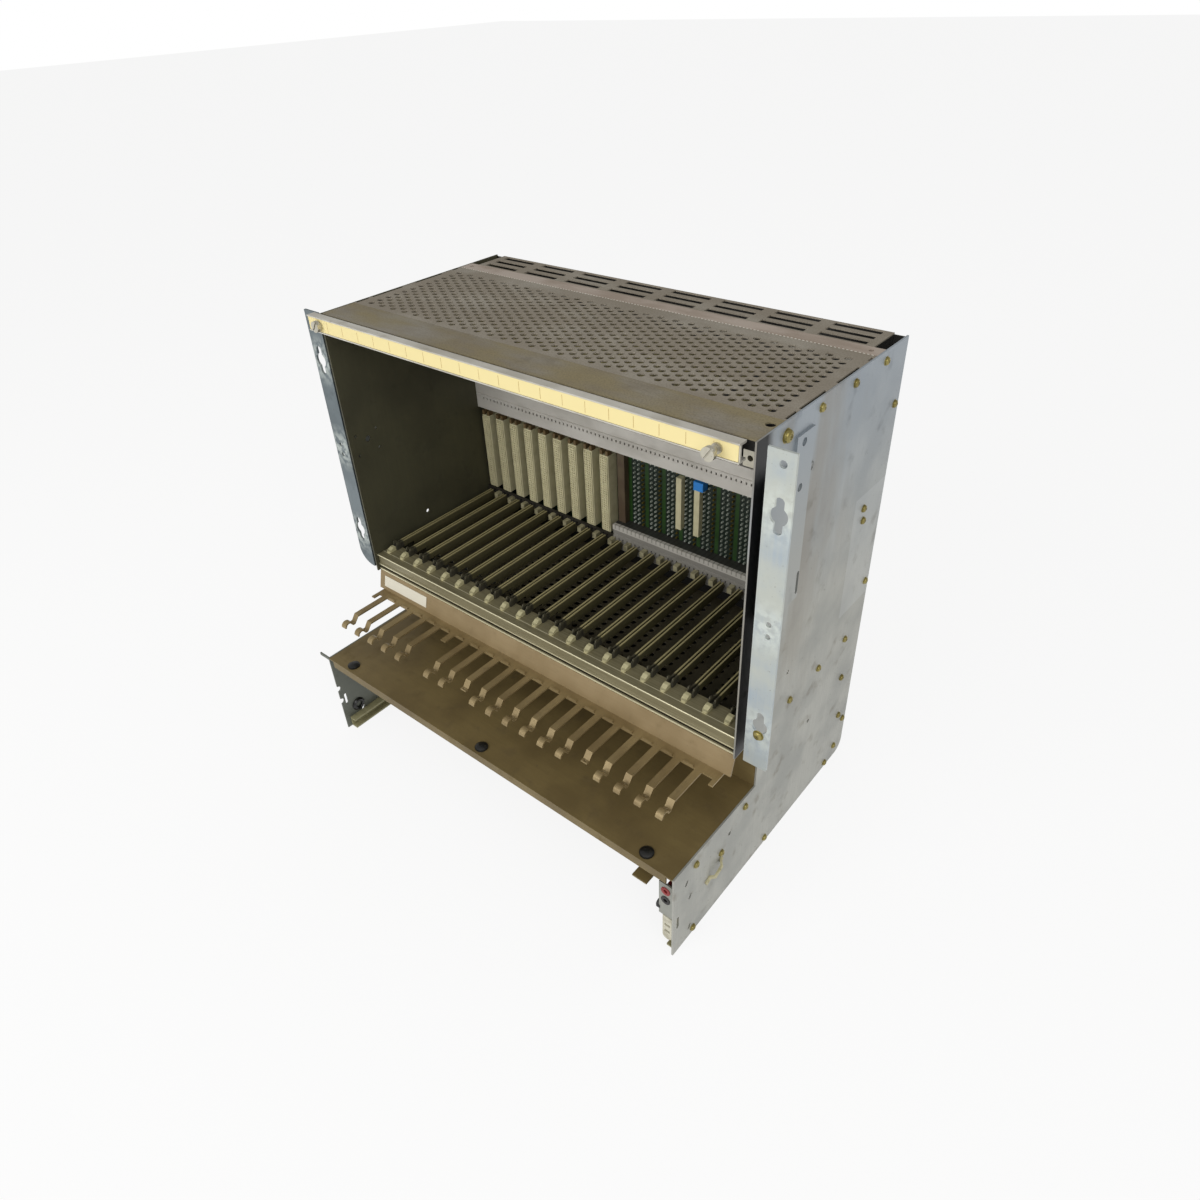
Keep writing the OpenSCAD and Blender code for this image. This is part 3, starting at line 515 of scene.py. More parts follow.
@dataclass(frozen=True)
class LinedExtrusion(Extrusion):
    """Front rail: painted highlights on the ridges and painted shade in the groove of the drawn profile."""

    painted_ridge_highlight: str = "#e9e2c0"
    painted_groove_shade: str = "#2b271c"

    def brewed(self) -> bpy.types.Material:
        """Painted highlights as bright lines on the ridges and one on the top, painted shade in the groove.
        """
        brew = Brew(self.name)
        rail = node_box("front_lower_rail")
        lines = brew.mask(0.9, 0.3, 0.7, stretch=(60, 1, 1), detail=3)
        clouds = brew.mask(30, 0.4, 0.7, stretch=(3, 1, 1), detail=6, shift=2)
        colour = brew.over(self.colour, self.grime, brew.times(clouds, self.grime_share))
        colour = brew.over(colour, self.bright, brew.times(lines, 0.15))
        # Painted shade: the groove of the profile is coloured dark.
        colour = brew.over(colour, self.painted_groove_shade, brew.band(Axis.Z, rail.low.z + 4, 1.6))
        # Painted highlights: bright lines where the rounded ridges catch the light.
        for height, half in ((1.1, 1.0), (6.9, 0.5), (rail.size.z - 0.6, 0.5)):
            colour = brew.over(
                colour, self.painted_ridge_highlight, brew.times(brew.band(Axis.Z, rail.low.z + height, half), 0.9)
            )
        # Painted highlight along the top edge of the rail.
        colour = brew.over(colour, self.painted_ridge_highlight, brew.times(brew.band(Axis.Y, rail.low.y + 8, 0.35), 0.8))
        return brew.surface(
            Base_Color=colour,
            Metallic=self.metallic,
            Roughness=brew.level(clouds, self.roughness, self.roughness + 0.2),
            Normal=brew.relief(lines, 0.03, 0.6),
        )


@dataclass(frozen=True)
class MouldedPlastic(Finish):
    """Injection moulded nylon or polyester: even, slightly grained, with handling grime."""

    grime: str = "#6a6046"
    grime_share: float = 0.35
    roughness: float = 0.48

    def brewed(self) -> bpy.types.Material:
        """Grime in soft clouds and a fine mould grain."""
        brew = Brew(self.name)
        clouds = brew.mask(9, 0.4, 0.72, detail=5)
        grain = brew.mask(0.35, 0.3, 0.7, detail=2, shift=3)
        colour = brew.over(self.colour, self.grime, brew.times(clouds, self.grime_share))
        return brew.surface(
            Base_Color=colour,
            Roughness=brew.level(clouds, self.roughness, self.roughness + 0.2),
            Normal=brew.relief(grain, 0.01, 0.5),
        )


@dataclass(frozen=True)
class GuidePlastic(MouldedPlastic):
    """Olive nylon of the card guides, with dark forks at their front ends and rib tops painted lighter than
    the sides.
    """

    fork: str = "#35332a"
    painted_rib_top_light: str = "#a89e72"
    fork_mm: float = 9.0

    def brewed(self) -> bpy.types.Material:
        """Darkens the fork end of each guide and paints the rib tops lighter, as painted light over sides
        that are dark from dirt and painted shade.
        """
        brew = Brew(self.name)
        guide = node_box("card_guide_01")
        clouds = brew.mask(9, 0.4, 0.72, stretch=(1, 4, 1), detail=5)
        colour = brew.over(self.colour, self.grime, brew.times(clouds, self.grime_share))
        # Painted light: the rib tops are lighter than the sides, whose dark base colour is partly dirt and
        # partly painted shade.
        tops = brew.beyond(Axis.Z, guide.high.z - 3.2, guide.high.z - 1.9)
        colour = brew.over(colour, self.painted_rib_top_light, brew.times(tops, 0.9))
        fork = brew.beyond(Axis.Y, guide.low.y + self.fork_mm + 2, guide.low.y + self.fork_mm)
        colour = brew.over(colour, self.fork, brew.times(fork, 0.9))
        return brew.surface(Base_Color=colour, Roughness=brew.level(clouds, self.roughness, 0.7))


@dataclass(frozen=True)
class BoardLaminate(Finish):
    """Glass fibre board: dark resist with brighter bare bands between the pin rows."""

    band: str = "#26451a"
    pitch_mm: float = 20.32
    start_mm: float = -15.6
    band_from: float = 0.6
    band_to: float = 0.8

    def brewed(self) -> bpy.types.Material:
        """One band for each slot, with a weave too fine to show drawn as faint grain."""
        brew = Brew(self.name)
        along = brew.add("ShaderNodeSeparateXYZ", {0: brew.place}).outputs["X"]
        turns = brew.add(
            "ShaderNodeMath", {0: along, 1: 1 / (self.pitch_mm * MM), 2: -self.start_mm / self.pitch_mm + 20},
            operation="MULTIPLY_ADD",
        )
        part = brew.add("ShaderNodeMath", {0: turns.outputs[0]}, operation="FRACT").outputs[0]
        middle = (self.band_from + self.band_to) / 2
        reach = (self.band_to - self.band_from) / 2
        inside = brew.add("ShaderNodeMath", {0: part, 1: middle, 2: reach}, operation="COMPARE").outputs[0]
        clouds = brew.mask(14, 0.35, 0.75, detail=4)
        colour = brew.over(self.colour, self.band, inside)
        colour = brew.over(colour, BOARD_CLOUD, brew.times(clouds, 0.45))
        weave = brew.mask(0.6, 0.3, 0.7, detail=2, shift=4)
        return brew.surface(Base_Color=colour, Roughness=0.35, Normal=brew.relief(weave, 0.01, 0.4))


@dataclass(frozen=True)
class PrintedFilm(Finish):
    """Matt coloured film or paper, scuffed and yellowed."""

    scuff: str = "#a88a3a"
    scuff_share: float = 0.5

    def brewed(self) -> bpy.types.Material:
        """Scuffs of some millimetres in two sizes."""
        brew = Brew(self.name)
        wide = brew.mask(12, 0.45, 0.7, stretch=(2, 1, 1), detail=6)
        fine = brew.mask(1.6, 0.5, 0.75, detail=3, shift=6)
        colour = brew.over(self.colour, self.scuff, brew.times(wide, self.scuff_share))
        colour = brew.over(colour, SMUDGE, brew.times(fine, self.scuff_share * 0.5))
        return brew.surface(Base_Color=colour, Roughness=0.55, Normal=brew.relief(fine, 0.02, 0.4))


# Right plate: bright zinc, faintly green grey. Left plate: the same sheet under an olive film, painted darker
# as the shade inside the cage.
RIGHT_PLATE = OuterPlate(
    "zinc_plate_right", "side_plate_sheet", "#b2b2aa", cloud="#9a9b95", stain="#857a6a", stain_share=0.5,
    metallic=0.4,
    speck="#4a3d2e",
)
# Painted shade: the left plate's dark olive is partly film and partly the shade inside the cage.
LEFT_PLATE = InnerPlate(
    "zinc_plate_left", "side_plate_sheet", "#55533f", cloud="#4b4938", stain="#3f3c2e", stain_share=0.25,
    metallic=0.3,
    roughness=0.55,
)
REAR_PANEL = BackSheet("zinc_rear_panel", "side_plate_sheet", "#a9aaa4", cloud="#8f908c", stain="#7d7468")
# Rack ears: plated later than the plates, bluer, with white corrosion where screws sat.
RIGHT_EAR = EarSheet(
    "zinc_ear_right", "ear_sheet", "#a9b5bf", cloud="#c0c4bc", stain="#98a3a8", stain_share=0.3, metallic=0.45
)
LEFT_EAR = EarSheet("zinc_ear_left", "ear_sheet", "#7e888c", cloud="#6a7478", stain="#565f60", side=-1)
FOOT_SHEET = PlatedSheet("zinc_foot_bracket", "ear_sheet", "#a9aaa2", cloud="#8f918a", stain="#6f6a5e")
# Top sheets: plated steel that dust has turned taupe.
TOP_SHEET = DustySheet(
    "dusty_cover_sheet", "cover_sheet", "#a39c8e", cloud="#928a7c", stain="#6b6150", grain=Axis.X,
    metallic=0.25
)
TOP_RAIL = DustySheet(
    "dusty_top_rail", "cover_sheet", "#8f897c", cloud="#7c7260", stain="#5b5140", dust="#8f8361",
    grain=Axis.X, metallic=0.2
)
SPRING = PlatedSheet(
    "spring_steel_strip", "spring_strip", "#efeade", cloud="#dcd6c8", stain="#a89f8c", grain=Axis.X,
    roughness=0.3,
    metallic=0.2,
)
CROSS_BAR = Extrusion(
    "drawn_aluminium_cross_bar", "cross_bar_aluminium", "#b5a698", grime="#8a7a6a", bright="#cfc3b8",
    metallic=0.4
)
LOCK_BAR = PlatedSheet(
    "zinc_locking_bar", "bar_sheet", "#d6d3ca", cloud="#b9b4a8", stain="#8b8474", grain=Axis.X,
    roughness=0.35, metallic=0.4
)
# Screws: yellow chromate gone olive, with dirt round their heads. Nickel ones have stayed bright.
SCREW_STEEL = PlatedSheet(
    "yellow_chromated_steel", "screw_steel", "#a0945a", cloud="#827642", stain="#4e4326", roughness=0.35,
    metallic=0.7
)
SCREW_DIRT = PlatedSheet(
    "dirt_round_screw_heads", "screw_steel", "#4f4a30", cloud="#3f3b28", stain="#2b281c", roughness=0.8,
    metallic=0.0
)
BRIGHT_SCREW = PlatedSheet(
    "nickel_plated_steel", "bright_screw_steel", "#c9c5b6", cloud="#9c9684", stain="#5c5444", roughness=0.3,
    metallic=0.7
)
FRONT_RAIL = LinedExtrusion(
    "drawn_aluminium_front_rail", "front_rail_aluminium", "#857d60", grime="#5a543c", bright="#d6d0ac",
    metallic=0.4
)
REAR_RAIL = RearRail(
    "drawn_aluminium_rear_rail", "rear_rail_aluminium", "#d2cec6", grime="#8f8a7e", bright="#f0ece4",
    grime_share=0.35,
    metallic=0.25,
)
FLOOR_SHEET = PlatedSheet(
    "soiled_floor_sheet", "floor_sheet", "#4c4635", cloud="#35301f", stain="#5a5140", roughness=0.6,
    metallic=0.2
)
# Dark olive base of the guides: partly dirt, partly painted shade on their sides.
GUIDE = GuidePlastic("moulded_nylon_guide", "guide_plastic", "#534e34", grime="#3a3624")
CLIP = MouldedPlastic("moulded_nylon_clip", "clip_plastic", "#bdb68f", grime="#857c58")
SPACER = MouldedPlastic("moulded_nylon_spacer", "clip_plastic", "#a39c7c", grime="#4f4a34", grime_share=0.7)
CONNECTOR = MouldedPlastic(
    "moulded_polyester_connector", "connector_plastic", "#cdc6a2", grime="#9a916c", grime_share=0.25
)
LATCH = MouldedPlastic("moulded_brown_latch", "connector_plastic", "#6a5636", grime="#3a2f1e")
BOARD = BoardLaminate("glass_fibre_board", "board_laminate", "#142219")
DIVIDER = MouldedPlastic("moulded_divider", "divider_plastic", "#4f4030")
CAP = MouldedPlastic("moulded_blue_cap", "cap_plastic", "#2d86d8", grime="#1e5796", grime_share=0.15)
# Passivated sheet: the same brown bath on fascia, comb and tray, lighter where it was handled.
FASCIA = PlatedSheet(
    "passivated_fascia", "fascia_sheet", "#9c8865", cloud="#8d7956", stain="#70603f", grain=Axis.X,
    metallic=0.15,
    roughness=0.5,
)
PAPER = PrintedFilm("paper_label", "paper_label", "#cfc9ad", scuff="#b3aa88", scuff_share=0.35)
FILM = PrintedFilm("yellow_label_film", "yellow_label_film", "#cf9420", scuff="#9c7420", scuff_share=0.6)
MARK = PrintedFilm("printed_slot_mark", "yellow_label_film", "#a87a20", scuff="#8f6a22")
COMB = PlatedSheet(
    "passivated_comb", "comb_sheet", "#9c8962", cloud="#86734f", stain="#5f4f35", grain=Axis.Y, metallic=0.35,
    roughness=0.42,
)
TRAY = PlatedSheet(
    "passivated_tray", "tray_sheet", "#7b6a42", cloud="#6a5a37", stain="#554628", grain=Axis.X, metallic=0.2,
    roughness=0.5
)
RUBBER = MouldedPlastic("moulded_rubber_bumper", "bumper_rubber", "#141413", grime="#2b2926", roughness=0.28)
RUNNER = MouldedPlastic("moulded_runner", "runner_plastic", "#9a9570", grime="#4b462e")
RED = MouldedPlastic("moulded_red_socket", "red_plastic", "#8e2b2b", grime="#5a2220")
BLACK = MouldedPlastic("moulded_black_socket", "black_plastic", "#1d1c1b", grime="#2f2d2a")
TERMINAL = MouldedPlastic("moulded_terminal_block", "terminal_plastic", "#c9c5b2", grime="#77705c")
# Pins: tinned posts catch the light as dots, bronze ones stay brown.
PIN = PlatedSheet(
    "tinned_contact_pin", "bright_screw_steel", "#d5dbd0", cloud="#aab2a6", stain="#7c8278", metallic=0.4,
    roughness=0.3
)
BRONZE_PIN = PlatedSheet(
    "bronze_contact_pin", "screw_steel", "#8f7c3a", cloud="#6a5a2a", stain="#403618", metallic=0.7,
    roughness=0.35
)

DRESS: dict[Finish, Sequence[str]] = {
    RIGHT_PLATE: ("side_plate_right",),
    LEFT_PLATE: ("side_plate_left",),
    REAR_PANEL: ("rear_panel",),
    RIGHT_EAR: ("ear_bracket_right",),
    LEFT_EAR: ("ear_bracket_left",),
    FOOT_SHEET: ("socket_bracket",),
    TOP_SHEET: ("perforated_cover", "louvre_cover"),
    TOP_RAIL: ("top_front_rail",),
    SPRING: ("contact_strip",),
    CROSS_BAR: ("rear_cross_bar",),
    LOCK_BAR: ("locking_bar",),
    SCREW_STEEL: ("side_screws",),
    BRIGHT_SCREW: ("locking_screws", "locking_blocks"),
    FRONT_RAIL: ("front_lower_rail",),
    REAR_RAIL: ("middle_rear_rail", "lower_rear_rail"),
    FLOOR_SHEET: ("floor_grille",),
    GUIDE: ("upper_card_guides", *(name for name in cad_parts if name.startswith("card_guide_"))),
    CLIP: ("guide_clips", "cable_clip"),
    SPACER: ("guide_spacers",),
    CONNECTOR: ("connector_blocks", "narrow_connectors"),
    BOARD: ("backplane_board",),
    DIVIDER: ("end_divider",),
    CAP: ("connector_cap",),
    FASCIA: ("fascia_strip",),
    PAPER: ("fascia_label",),
    FILM: ("locking_bar_label",),
    COMB: ("cable_comb",),
    TRAY: ("cable_tray", "lip_tongue"),
    RUBBER: ("tray_bumpers",),
    RUNNER: ("bottom_runners",),
    RED: ("red_socket",),
    BLACK: ("black_socket",),
    TERMINAL: ("terminal_block",),
}


# ---------- shaping ----------


class Shape:
    """A mesh in millimetres while it is being modelled."""

    def __init__(self) -> None:
        """Starts with nothing."""
        self.bm = bmesh.new()

    def block(self, low: Vector, high: Vector, rounding: float = 0.0, segments: int = 2) -> list[
            bmesh.types.BMVert
    ]:
        """Adds a box with rounded edges.

        Args:
            low: its lowest corner.
            high: its highest corner.
            rounding: width of the rounding on its edges.
            segments: faces across the rounding.

        Returns:
            The new vertices.
        """
        size, middle = high - low, (high + low) / 2
        made = bmesh.ops.create_cube(
            self.bm, size=1, matrix=Matrix.Translation(middle) @ Matrix.Diagonal((*size, 1))
        )
        if not rounding:
            return made["verts"]
        edges = {edge for vert in made["verts"] for edge in vert.link_edges}
        before = set(self.bm.verts) - set(made["verts"])
        bmesh.ops.bevel(
            self.bm, geom=list(edges), offset=rounding, segments=segments, profile=0.5, affect="EDGES",
            material=-1
        )
        return [vert for vert in self.bm.verts if vert not in before]

    def turned(
        self, outline: Iterable[tuple[float, float]], base: Vector, way: Vector, sides: int = 24
    ) -> list[bmesh.types.BMVert]:
        """Adds a turned shape.

        Args:
            outline: (radius, height) pairs from one end of the axis to the other.
            base: the foot of the axis.
            way: the axis's direction.
            sides: faces round it.

        Returns:
            The new vertices.
        """
        before = set(self.bm.verts)
        verts = [self.bm.verts.new((radius, 0, height)) for radius, height in outline]
        edges = [self.bm.edges.new(pair) for pair in zip(verts, verts[1:])]
        bmesh.ops.spin(
            self.bm, geom=verts + edges, cent=(0, 0, 0), axis=(0, 0, 1), angle=math.tau, steps=sides,
            use_merge=True
        )
        fresh = [vert for vert in self.bm.verts if vert not in before]
        bmesh.ops.remove_doubles(self.bm, verts=fresh, dist=1e-4)
        fresh = [vert for vert in self.bm.verts if vert not in before]
        turn = Vector((0, 0, 1)).rotation_difference(way).to_matrix().to_4x4()
        bmesh.ops.transform(self.bm, matrix=Matrix.Translation(base) @ turn, verts=fresh)
        return fresh

    def placed(self, verts: Iterable[bmesh.types.BMVert], matrix: Matrix) -> None:
        """Moves vertices by a matrix."""
        bmesh.ops.transform(self.bm, matrix=matrix, verts=list(verts))

    def piece(self, name: str, finish: Finish, smooth: bool = True) -> bpy.types.Object:
        """Ends the shape as an object that rides on the cage.

        Args:
            name: the object's name.
            finish: its finish.
            smooth: True shades it smooth except at sharp edges.

        Returns:
            The object.
        """
        bmesh.ops.recalc_face_normals(self.bm, faces=self.bm.faces[:])
        bmesh.ops.scale(self.bm, vec=(MM, MM, MM), verts=self.bm.verts[:])
        mesh = bpy.data.meshes.new(name)
        self.bm.to_mesh(mesh)
        self.bm.free()
        if smooth:
            mesh.shade_smooth()
            mesh.set_sharp_from_angle(angle=math.radians(35))
        obj = bpy.data.objects.new(name, mesh)
        bpy.context.collection.objects.link(obj)
        mesh.materials.append(finish.material())
        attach(obj, "root")
        log.info("piece %s: %d faces, %s", name, len(mesh.polygons), finish.name)
        return obj


@dataclass(frozen=True)
class Solid:
    """The box of one solid of a CAD node, in millimetres."""

    low: Vector
    high: Vector

    @property
    def middle(self) -> Vector:
        """Centre of the box."""
        return (self.low + self.high) / 2

    @property
    def size(self) -> Vector:
        """Size of the box."""
        return self.high - self.low


def node_box(node: str) -> Solid:
    """The box of a whole CAD node, in millimetres."""
    low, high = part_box(node)
    return Solid(Vector(low) / MM, Vector(high) / MM)


def node_solids(node: str) -> list[Solid]:
    """The boxes of the separate solids in a CAD node, in millimetres.

    Args:
        node: the node's name.

    Returns:
        One box a solid, ordered along X.
    """
    bm = bmesh.new()
    bm.from_mesh(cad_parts[node].data)
    bmesh.ops.remove_doubles(bm, verts=bm.verts[:], dist=1e-6)
    left, found = set(bm.verts), []
    while left:
        front = [left.pop()]
        group = list(front)
        while front:
            vert = front.pop()
            for edge in vert.link_edges:
                other = edge.other_vert(vert)
                if other in left:
                    left.discard(other)
                    front.append(other)
                    group.append(other)
        spots = [vert.co / MM for vert in group]
        low = Vector(min(s[k] for s in spots) for k in range(3))
        high = Vector(max(s[k] for s in spots) for k in range(3))
        found.append(Solid(low, high))
    bm.free()
    return sorted(found, key=lambda solid: solid.middle.x)


# ---------- sub-assemblies ----------


@dataclass
class Dressing:
    """Gives every CAD node its finish."""

    plan: dict[Finish, Sequence[str]]

    def build(self) -> None:
        """Puts each finish on its nodes."""
        for finish, nodes in self.plan.items():
            for name in nodes:
                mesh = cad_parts[name].data
                mesh.materials.clear()
                mesh.materials.append(finish.material())
        log.info("dressed %d nodes", sum(len(nodes) for nodes in self.plan.values()))


@dataclass
class SideScrews:
    """Pan head screws in the side plates, each with a washer and a cross recess."""

    washer_mm: float = 0.5
    dirt_share: float = 1.2
    sides: int = 20

    def build(self) -> None:
        """Puts one screw over each plain one."""
        shape, dirt = Shape(), Shape()
        turn = random.Random(SEED)
        for solid in node_solids("side_screws"):
            side = 1 if solid.middle.x > 0 else -1
            outer = solid.high.x if side > 0 else -solid.low.x
            radius = solid.size.z / 2
            head = radius * 0.72
            seat = Vector((side * (outer - head), solid.middle.y, solid.middle.z))
            self.screw(shape, seat, Vector((side, 0, 0)), radius, head, turn.uniform(0, math.pi / 2))
            ring = [(0, 0), (radius * self.dirt_share, 0), (radius * self.dirt_share, 0.12), (0, 0.12)]
            dirt.turned(ring, seat, Vector((side, 0, 0)), self.sides)
        ear = node_box("ear_bracket_right")
        left_in = Vector((ear.high.x - 8.75, ear.low.y, ear.low.z + 33))
        self.screw(shape, left_in, Vector((0, -1, 0)), 4.4, 2.6, 0.4)
        screws = shape.piece("side_screw_heads", SCREW_STEEL)
        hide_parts("side_screws")
        dirt.piece("screw_dirt", SCREW_DIRT)

    def screw(
            self, shape: Shape, seat: Vector, way: Vector, radius: float, head: float, angle: float
    ) -> None:
        """Adds one head.

        Args:
            shape: the mesh in hand.
            seat: centre of the washer's underside.
            way: the screw's direction, outwards.
            radius: radius of the head.
            head: height of the head.
            angle: turn of the recess.
        """
        washer = [(0, 0), (radius, 0), (radius, self.washer_mm * 0.7), (radius * 0.96, self.washer_mm)]
        dome = [
            (radius * 0.84, self.washer_mm),
            (radius * 0.84, head * 0.55),
            (radius * 0.72, head * 0.82),
            (radius * 0.5, head * 0.96),
            (radius * 0.34, head),
            (radius * 0.3, head * 0.7),
            (0, head * 0.62),
        ]
        shape.turned(washer + dome, seat, way, self.sides)
        reach, thin = radius * 0.34, radius * 0.09
        for turn in (angle, angle + math.pi / 2):
            verts = shape.block(Vector((-reach, -thin, 0)), Vector((reach, thin, head * 0.93)))
            upright = Vector((0, 0, 1)).rotation_difference(way).to_matrix().to_4x4()
            spun = upright @ Matrix.Rotation(turn, 4, "Z")
            shape.placed(verts, Matrix.Translation(seat) @ spun)


@dataclass
class BackplanePins:
    """Rows of contact pins on the open part of the backplane."""

    pitch_mm: float = 5.08
    slot_mm: float = 20.32
    first_mm: float = -15.6
    post_mm: float = 0.85
    length_mm: float = 2.6

    def build(self) -> None:
        """Adds tinned pins in two columns and bronze ones in the third of each slot."""
        board = node_box("backplane_board")
        low = node_box("lower_rear_rail").high.z + 2
        high = node_box("middle_rear_rail").low.z + 6
        tinned, bronze = Shape(), Shape()
        x = self.first_mm
        column = 0
        while x < board.high.x - 3:
            z = low
            while z < high:
                self.pin(bronze if column % 3 == 2 else tinned, Vector((x, board.low.y, z)))
                z += self.pitch_mm
            column += 1
            x = self.first_mm + (column // 3) * self.slot_mm + (column % 3) * self.pitch_mm
        tinned.piece("tinned_pins", PIN, smooth=False)
        bronze.piece("bronze_pins", BRONZE_PIN, smooth=False)

    def pin(self, shape: Shape, foot: Vector) -> None:
        """Adds one square pin with a pointed tip.

        Args:
            shape: the mesh in hand.
            foot: where it leaves the board.
        """
        half = self.post_mm
        front = foot + Vector((0, -self.length_mm / 2, 0))
        size = Vector((half * 2, self.length_mm, half * 2))
        made = bmesh.ops.create_cube(
            shape.bm, size=1, matrix=Matrix.Translation(front) @ Matrix.Diagonal((*size, 1))
        )
        tip = [vert for vert in made["verts"] if vert.co.y < front.y]
        shape.placed(
            tip, Matrix.Translation(foot) @ Matrix.Diagonal((0.7, 1, 0.7, 1)) @ Matrix.Translation(-foot)
        )


@dataclass
class CardConnectors:
    """Connector bodies with rows of contact cells in their faces."""

    columns: int = 3
    rows: int = 32
    cell_gap: float = 0.7
    cell_depth: float = 0.9

    def build(self) -> None:
        """Replaces the plain connectors."""
        shape, latches = Shape(), Shape()
        for solid in node_solids("connector_blocks"):
            self.body(shape, latches, solid)
        bodies = shape.piece("card_connectors", CONNECTOR, smooth=False)
        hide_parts("connector_blocks")
        latches.piece("connector_latches", LATCH, smooth=False)

    def body(self, shape: Shape, latches: Shape, solid: Solid) -> None:
        """Adds one body with its cells and two keys on top.

        Args:
            shape: the mesh of the bodies.
            latches: the mesh of the keys.
            solid: the plain connector's box.
        """
        low, high = solid.low.copy(), solid.high.copy()
        key = 5.0
        high.z -= key
        shape.block(low + Vector((0, 1, 0)), high, 0.6)
        before = set(shape.bm.faces)
        face_size = Vector((high.x - low.x - 1.6, high.z - low.z - 3, 1))
        plane = Matrix.Translation(Vector(((low.x + high.x) / 2, low.y + 1, (low.z + high.z) / 2)))
        plane = plane @ Matrix.Rotation(math.pi / 2, 4, "X") @ Matrix.Diagonal((*face_size, 1))
        bmesh.ops.create_grid(shape.bm, x_segments=self.columns, y_segments=self.rows, size=0.5, matrix=plane)
        cells = [face for face in shape.bm.faces if face not in before]
        raised = bmesh.ops.extrude_face_region(shape.bm, geom=cells)
        verts = [item for item in raised["geom"] if isinstance(item, bmesh.types.BMVert)]
        shape.placed(verts, Matrix.Translation((0, -1, 0)))
        fronts = [item for item in raised["geom"] if isinstance(item, bmesh.types.BMFace)]
        bmesh.ops.delete(shape.bm, geom=cells, context="FACES_ONLY")
        bmesh.ops.inset_individual(shape.bm, faces=fronts, thickness=self.cell_gap)
        bmesh.ops.inset_individual(shape.bm, faces=fronts, thickness=0.15, depth=-self.cell_depth)
        for side in (-1, 1):
            mid = (low.x + high.x) / 2 + side * 3.6
            latches.block(
                Vector((mid - 1.5, low.y + 1, high.z)), Vector((mid + 1.5, low.y + 8, high.z + key)), 0.4
            )


@dataclass
class BarLabel:
    """Slot marks on the yellow strip of the locking bar."""

    pitch_mm: float = 20.32
    first_mm: float = -205.9
    slots: int = 21
    mark_mm: float = 0.28

    def build(self) -> None:
        """Adds a thin dark line between slots."""
        strip = node_box("locking_bar_label")
        shape = Shape()
        for step in range(self.slots + 1):
            x = self.first_mm + (step - 0.5) * self.pitch_mm
            if strip.low.x + 16 < x < strip.high.x - 16:
                low = Vector((x - self.mark_mm / 2, strip.low.y - 0.04, strip.low.z + 1.5))
                high = Vector((x + self.mark_mm / 2, strip.low.y + 0.2, strip.high.z - 1.5))
                shape.block(low, high)
        shape.piece("strip_marks", MARK, smooth=False)


@dataclass
class FootFittings:
    """Rubber grommet in the left foot and the small knob beside the test sockets."""

    sides: int = 28

    def build(self) -> None:
        """Adds both, each seated on the sheet that carries it."""
        plate = node_box("side_plate_left")
        tray = node_box("cable_tray")
        grommet = Shape()
        ring = [(3.4, 0), (7.4, 0), (7.4, 1.2), (6.2, 2.6), (4.4, 2.8), (3.4, 2)]
        spot = Vector((tray.low.x - 0.1, plate.low.y + 18, 22))
        grommet.turned([*ring, ring[0]], spot, Vector((1, 0, 0)), self.sides)
        grommet.piece("foot_grommet", RUBBER)
        bracket = node_box("socket_bracket")
        knob = Shape()
        outline = [(0, 0), (3.6, 0), (4.2, 0.8), (4.2, 3.4), (3.2, 4.4), (0, 4.6)]
        seat = Vector((bracket.low.x + 1.2, bracket.low.y + 3.5, bracket.low.z + 7))
        knob.turned(outline, seat, Vector((-1, 0, 0)), self.sides)
        knob.piece("side_knob", BLACK)


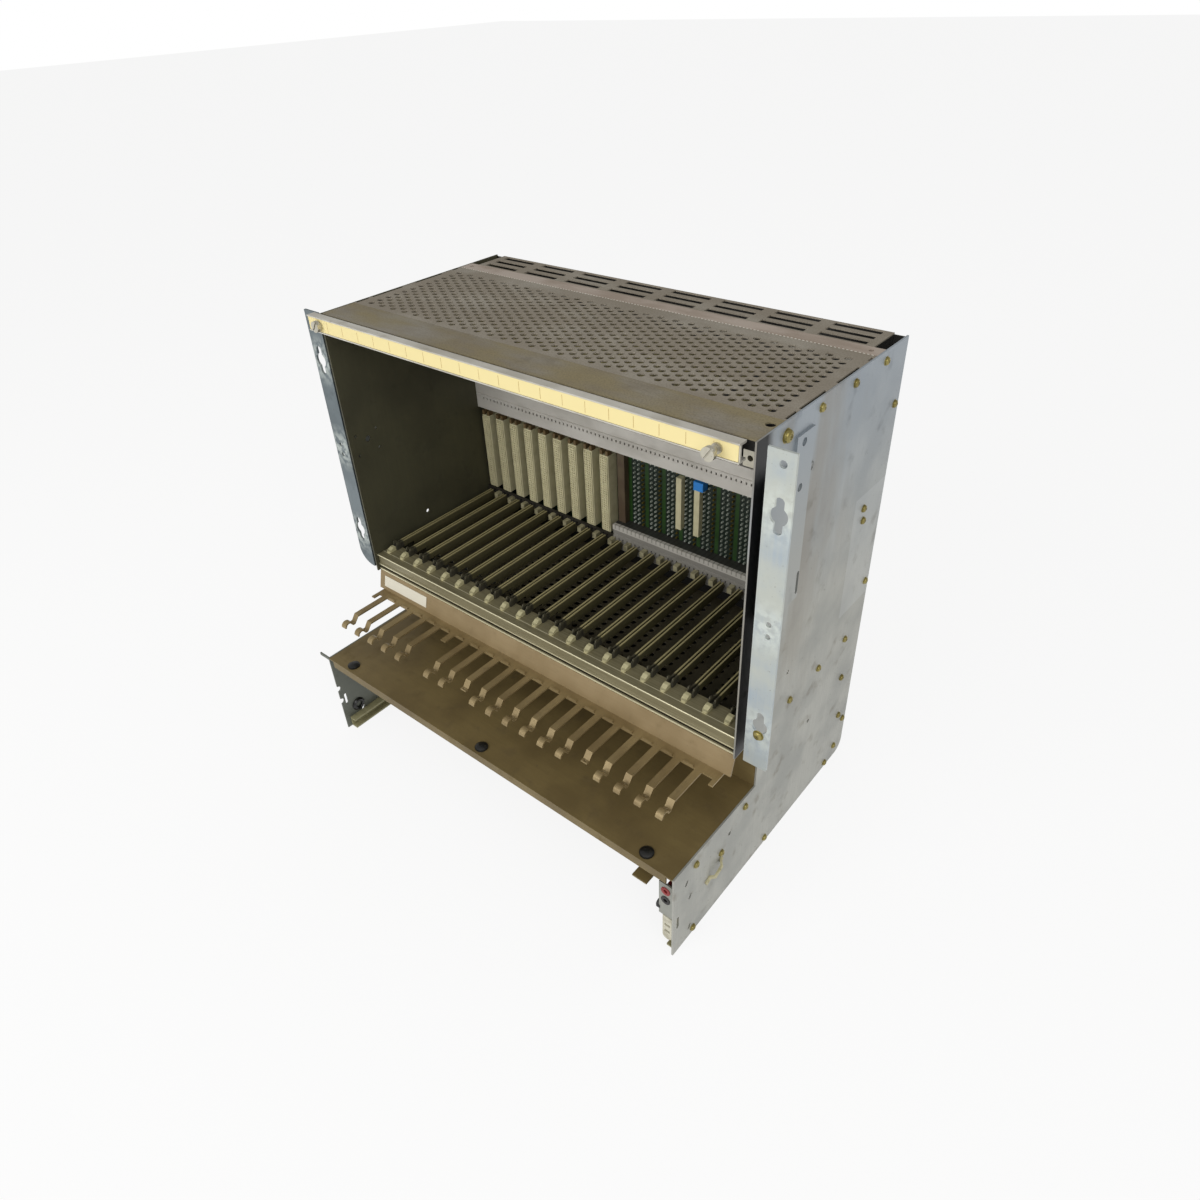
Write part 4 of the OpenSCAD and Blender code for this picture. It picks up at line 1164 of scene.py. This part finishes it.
@dataclass
class Studio:
    """Pale floor, soft lamps, white surround and the camera."""

    eye_mm: Vector = field(default_factory=lambda: Vector((443.84, -477.17, 660.94)))
    heading: float = 41.275
    tilt: float = 35.125
    roll: float = -2.92
    lens_mm: float = 25.946
    shift: tuple[float, float] = (0.00285, -0.01825)

    def build(self) -> None:
        """Sets the stage."""
        self.floor()
        self.surround()
        self.lamps()
        self.camera()

    def floor(self) -> None:
        """A wide pale floor under the cage."""
        bm = bmesh.new()
        bmesh.ops.create_grid(bm, x_segments=1, y_segments=1, size=12)
        mesh = bpy.data.meshes.new("floor")
        bm.to_mesh(mesh)
        bm.free()
        brew = Brew("floor_paper")
        soft = brew.add("ShaderNodeBsdfDiffuse", {"Color": to_linear("#f4f4f4")})
        white = brew.add("ShaderNodeEmission", {"Color": to_linear("#ffffff"), "Strength": 1.0})
        rays = brew.add("ShaderNodeLightPath")
        seen = brew.add(
            "ShaderNodeMath",
            {0: rays.outputs["Is Camera Ray"], 1: rays.outputs["Is Glossy Ray"]},
            operation="MAXIMUM",
        )
        share = brew.times(seen.outputs[0], 0.86)
        mixed = brew.add("ShaderNodeMixShader", {0: share, 1: soft.outputs[0], 2: white.outputs[0]})
        brew.add("ShaderNodeOutputMaterial", {"Surface": mixed.outputs[0]})
        mesh.materials.append(brew.material)
        floor = bpy.data.objects.new("floor", mesh)
        bpy.context.collection.objects.link(floor)

    def surround(self) -> None:
        """A soft grey light from all round that looks white."""
        world = bpy.data.worlds.new("surround")
        bpy.context.scene.world = world
        world.use_nodes = True
        nodes, links = world.node_tree.nodes, world.node_tree.links
        nodes.clear()
        rays = nodes.new("ShaderNodeLightPath")
        glow, plain = nodes.new("ShaderNodeBackground"), nodes.new("ShaderNodeBackground")
        plain.inputs["Strength"].default_value = 1.0
        glow.inputs["Color"].default_value = (1, 0.995, 0.975, 1)
        glow.inputs["Strength"].default_value = 0.46
        mixed, out = nodes.new("ShaderNodeMixShader"), nodes.new("ShaderNodeOutputWorld")
        plain.inputs["Color"].default_value = (1, 1, 1, 1)
        links.new(rays.outputs["Is Camera Ray"], mixed.inputs[0])
        links.new(glow.outputs[0], mixed.inputs[1])
        links.new(plain.outputs[0], mixed.inputs[2])
        links.new(mixed.outputs[0], out.inputs["Surface"])

    def lamp(self, name: str, place: Vector, size: float, watts: float) -> None:
        """Adds one soft lamp that faces the cage.

        Args:
            name: the lamp's name.
            place: where it hangs, in metres.
            size: side of its square, in metres.
            watts: its power.
        """
        light = bpy.data.lights.new(name, "AREA")
        light.shape, light.size, light.energy = "SQUARE", size, watts
        obj = bpy.data.objects.new(name, light)
        bpy.context.collection.objects.link(obj)
        aim = Vector((0, 0, 0.2)) - place
        obj.matrix_world = Matrix.Translation(place) @ aim.to_track_quat("-Z", "Y").to_matrix().to_4x4()

    def lamps(self) -> None:
        """A key from the upper right front and a fill from the left."""
        self.lamp("key", Vector((1.5, -1.0, 1.5)), 1.2, 13)
        self.lamp("fill", Vector((-0.3, -1.8, 1.1)), 1.4, 17)

    def camera(self) -> None:
        """The camera, at its given viewing angle."""
        lens = bpy.data.cameras.new("camera")
        lens.sensor_width, lens.lens = 36, self.lens_mm
        lens.shift_x, lens.shift_y = self.shift
        lens.clip_start, lens.clip_end = 0.01, 100
        camera = bpy.data.objects.new("camera", lens)
        bpy.context.collection.objects.link(camera)
        turn = Matrix.Rotation(math.radians(self.heading), 4, "Z")
        turn = turn @ Matrix.Rotation(math.radians(90 - self.tilt), 4, "X")
        turn = turn @ Matrix.Rotation(math.radians(self.roll), 4, "Z")
        camera.matrix_world = Matrix.Translation(self.eye_mm * MM) @ turn
        bpy.context.scene.camera = camera
        bpy.context.scene.view_settings.view_transform = "Standard"


def main() -> None:
    """Builds the cage's looks in order."""
    logging.basicConfig(level=logging.INFO, format="%(message)s")
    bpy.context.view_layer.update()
    Dressing(DRESS).build()
    for part in (SideScrews(), BackplanePins(), CardConnectors(), BarLabel(), FootFittings(), Studio()):
        part.build()


if __name__ == "__main__":
    main()
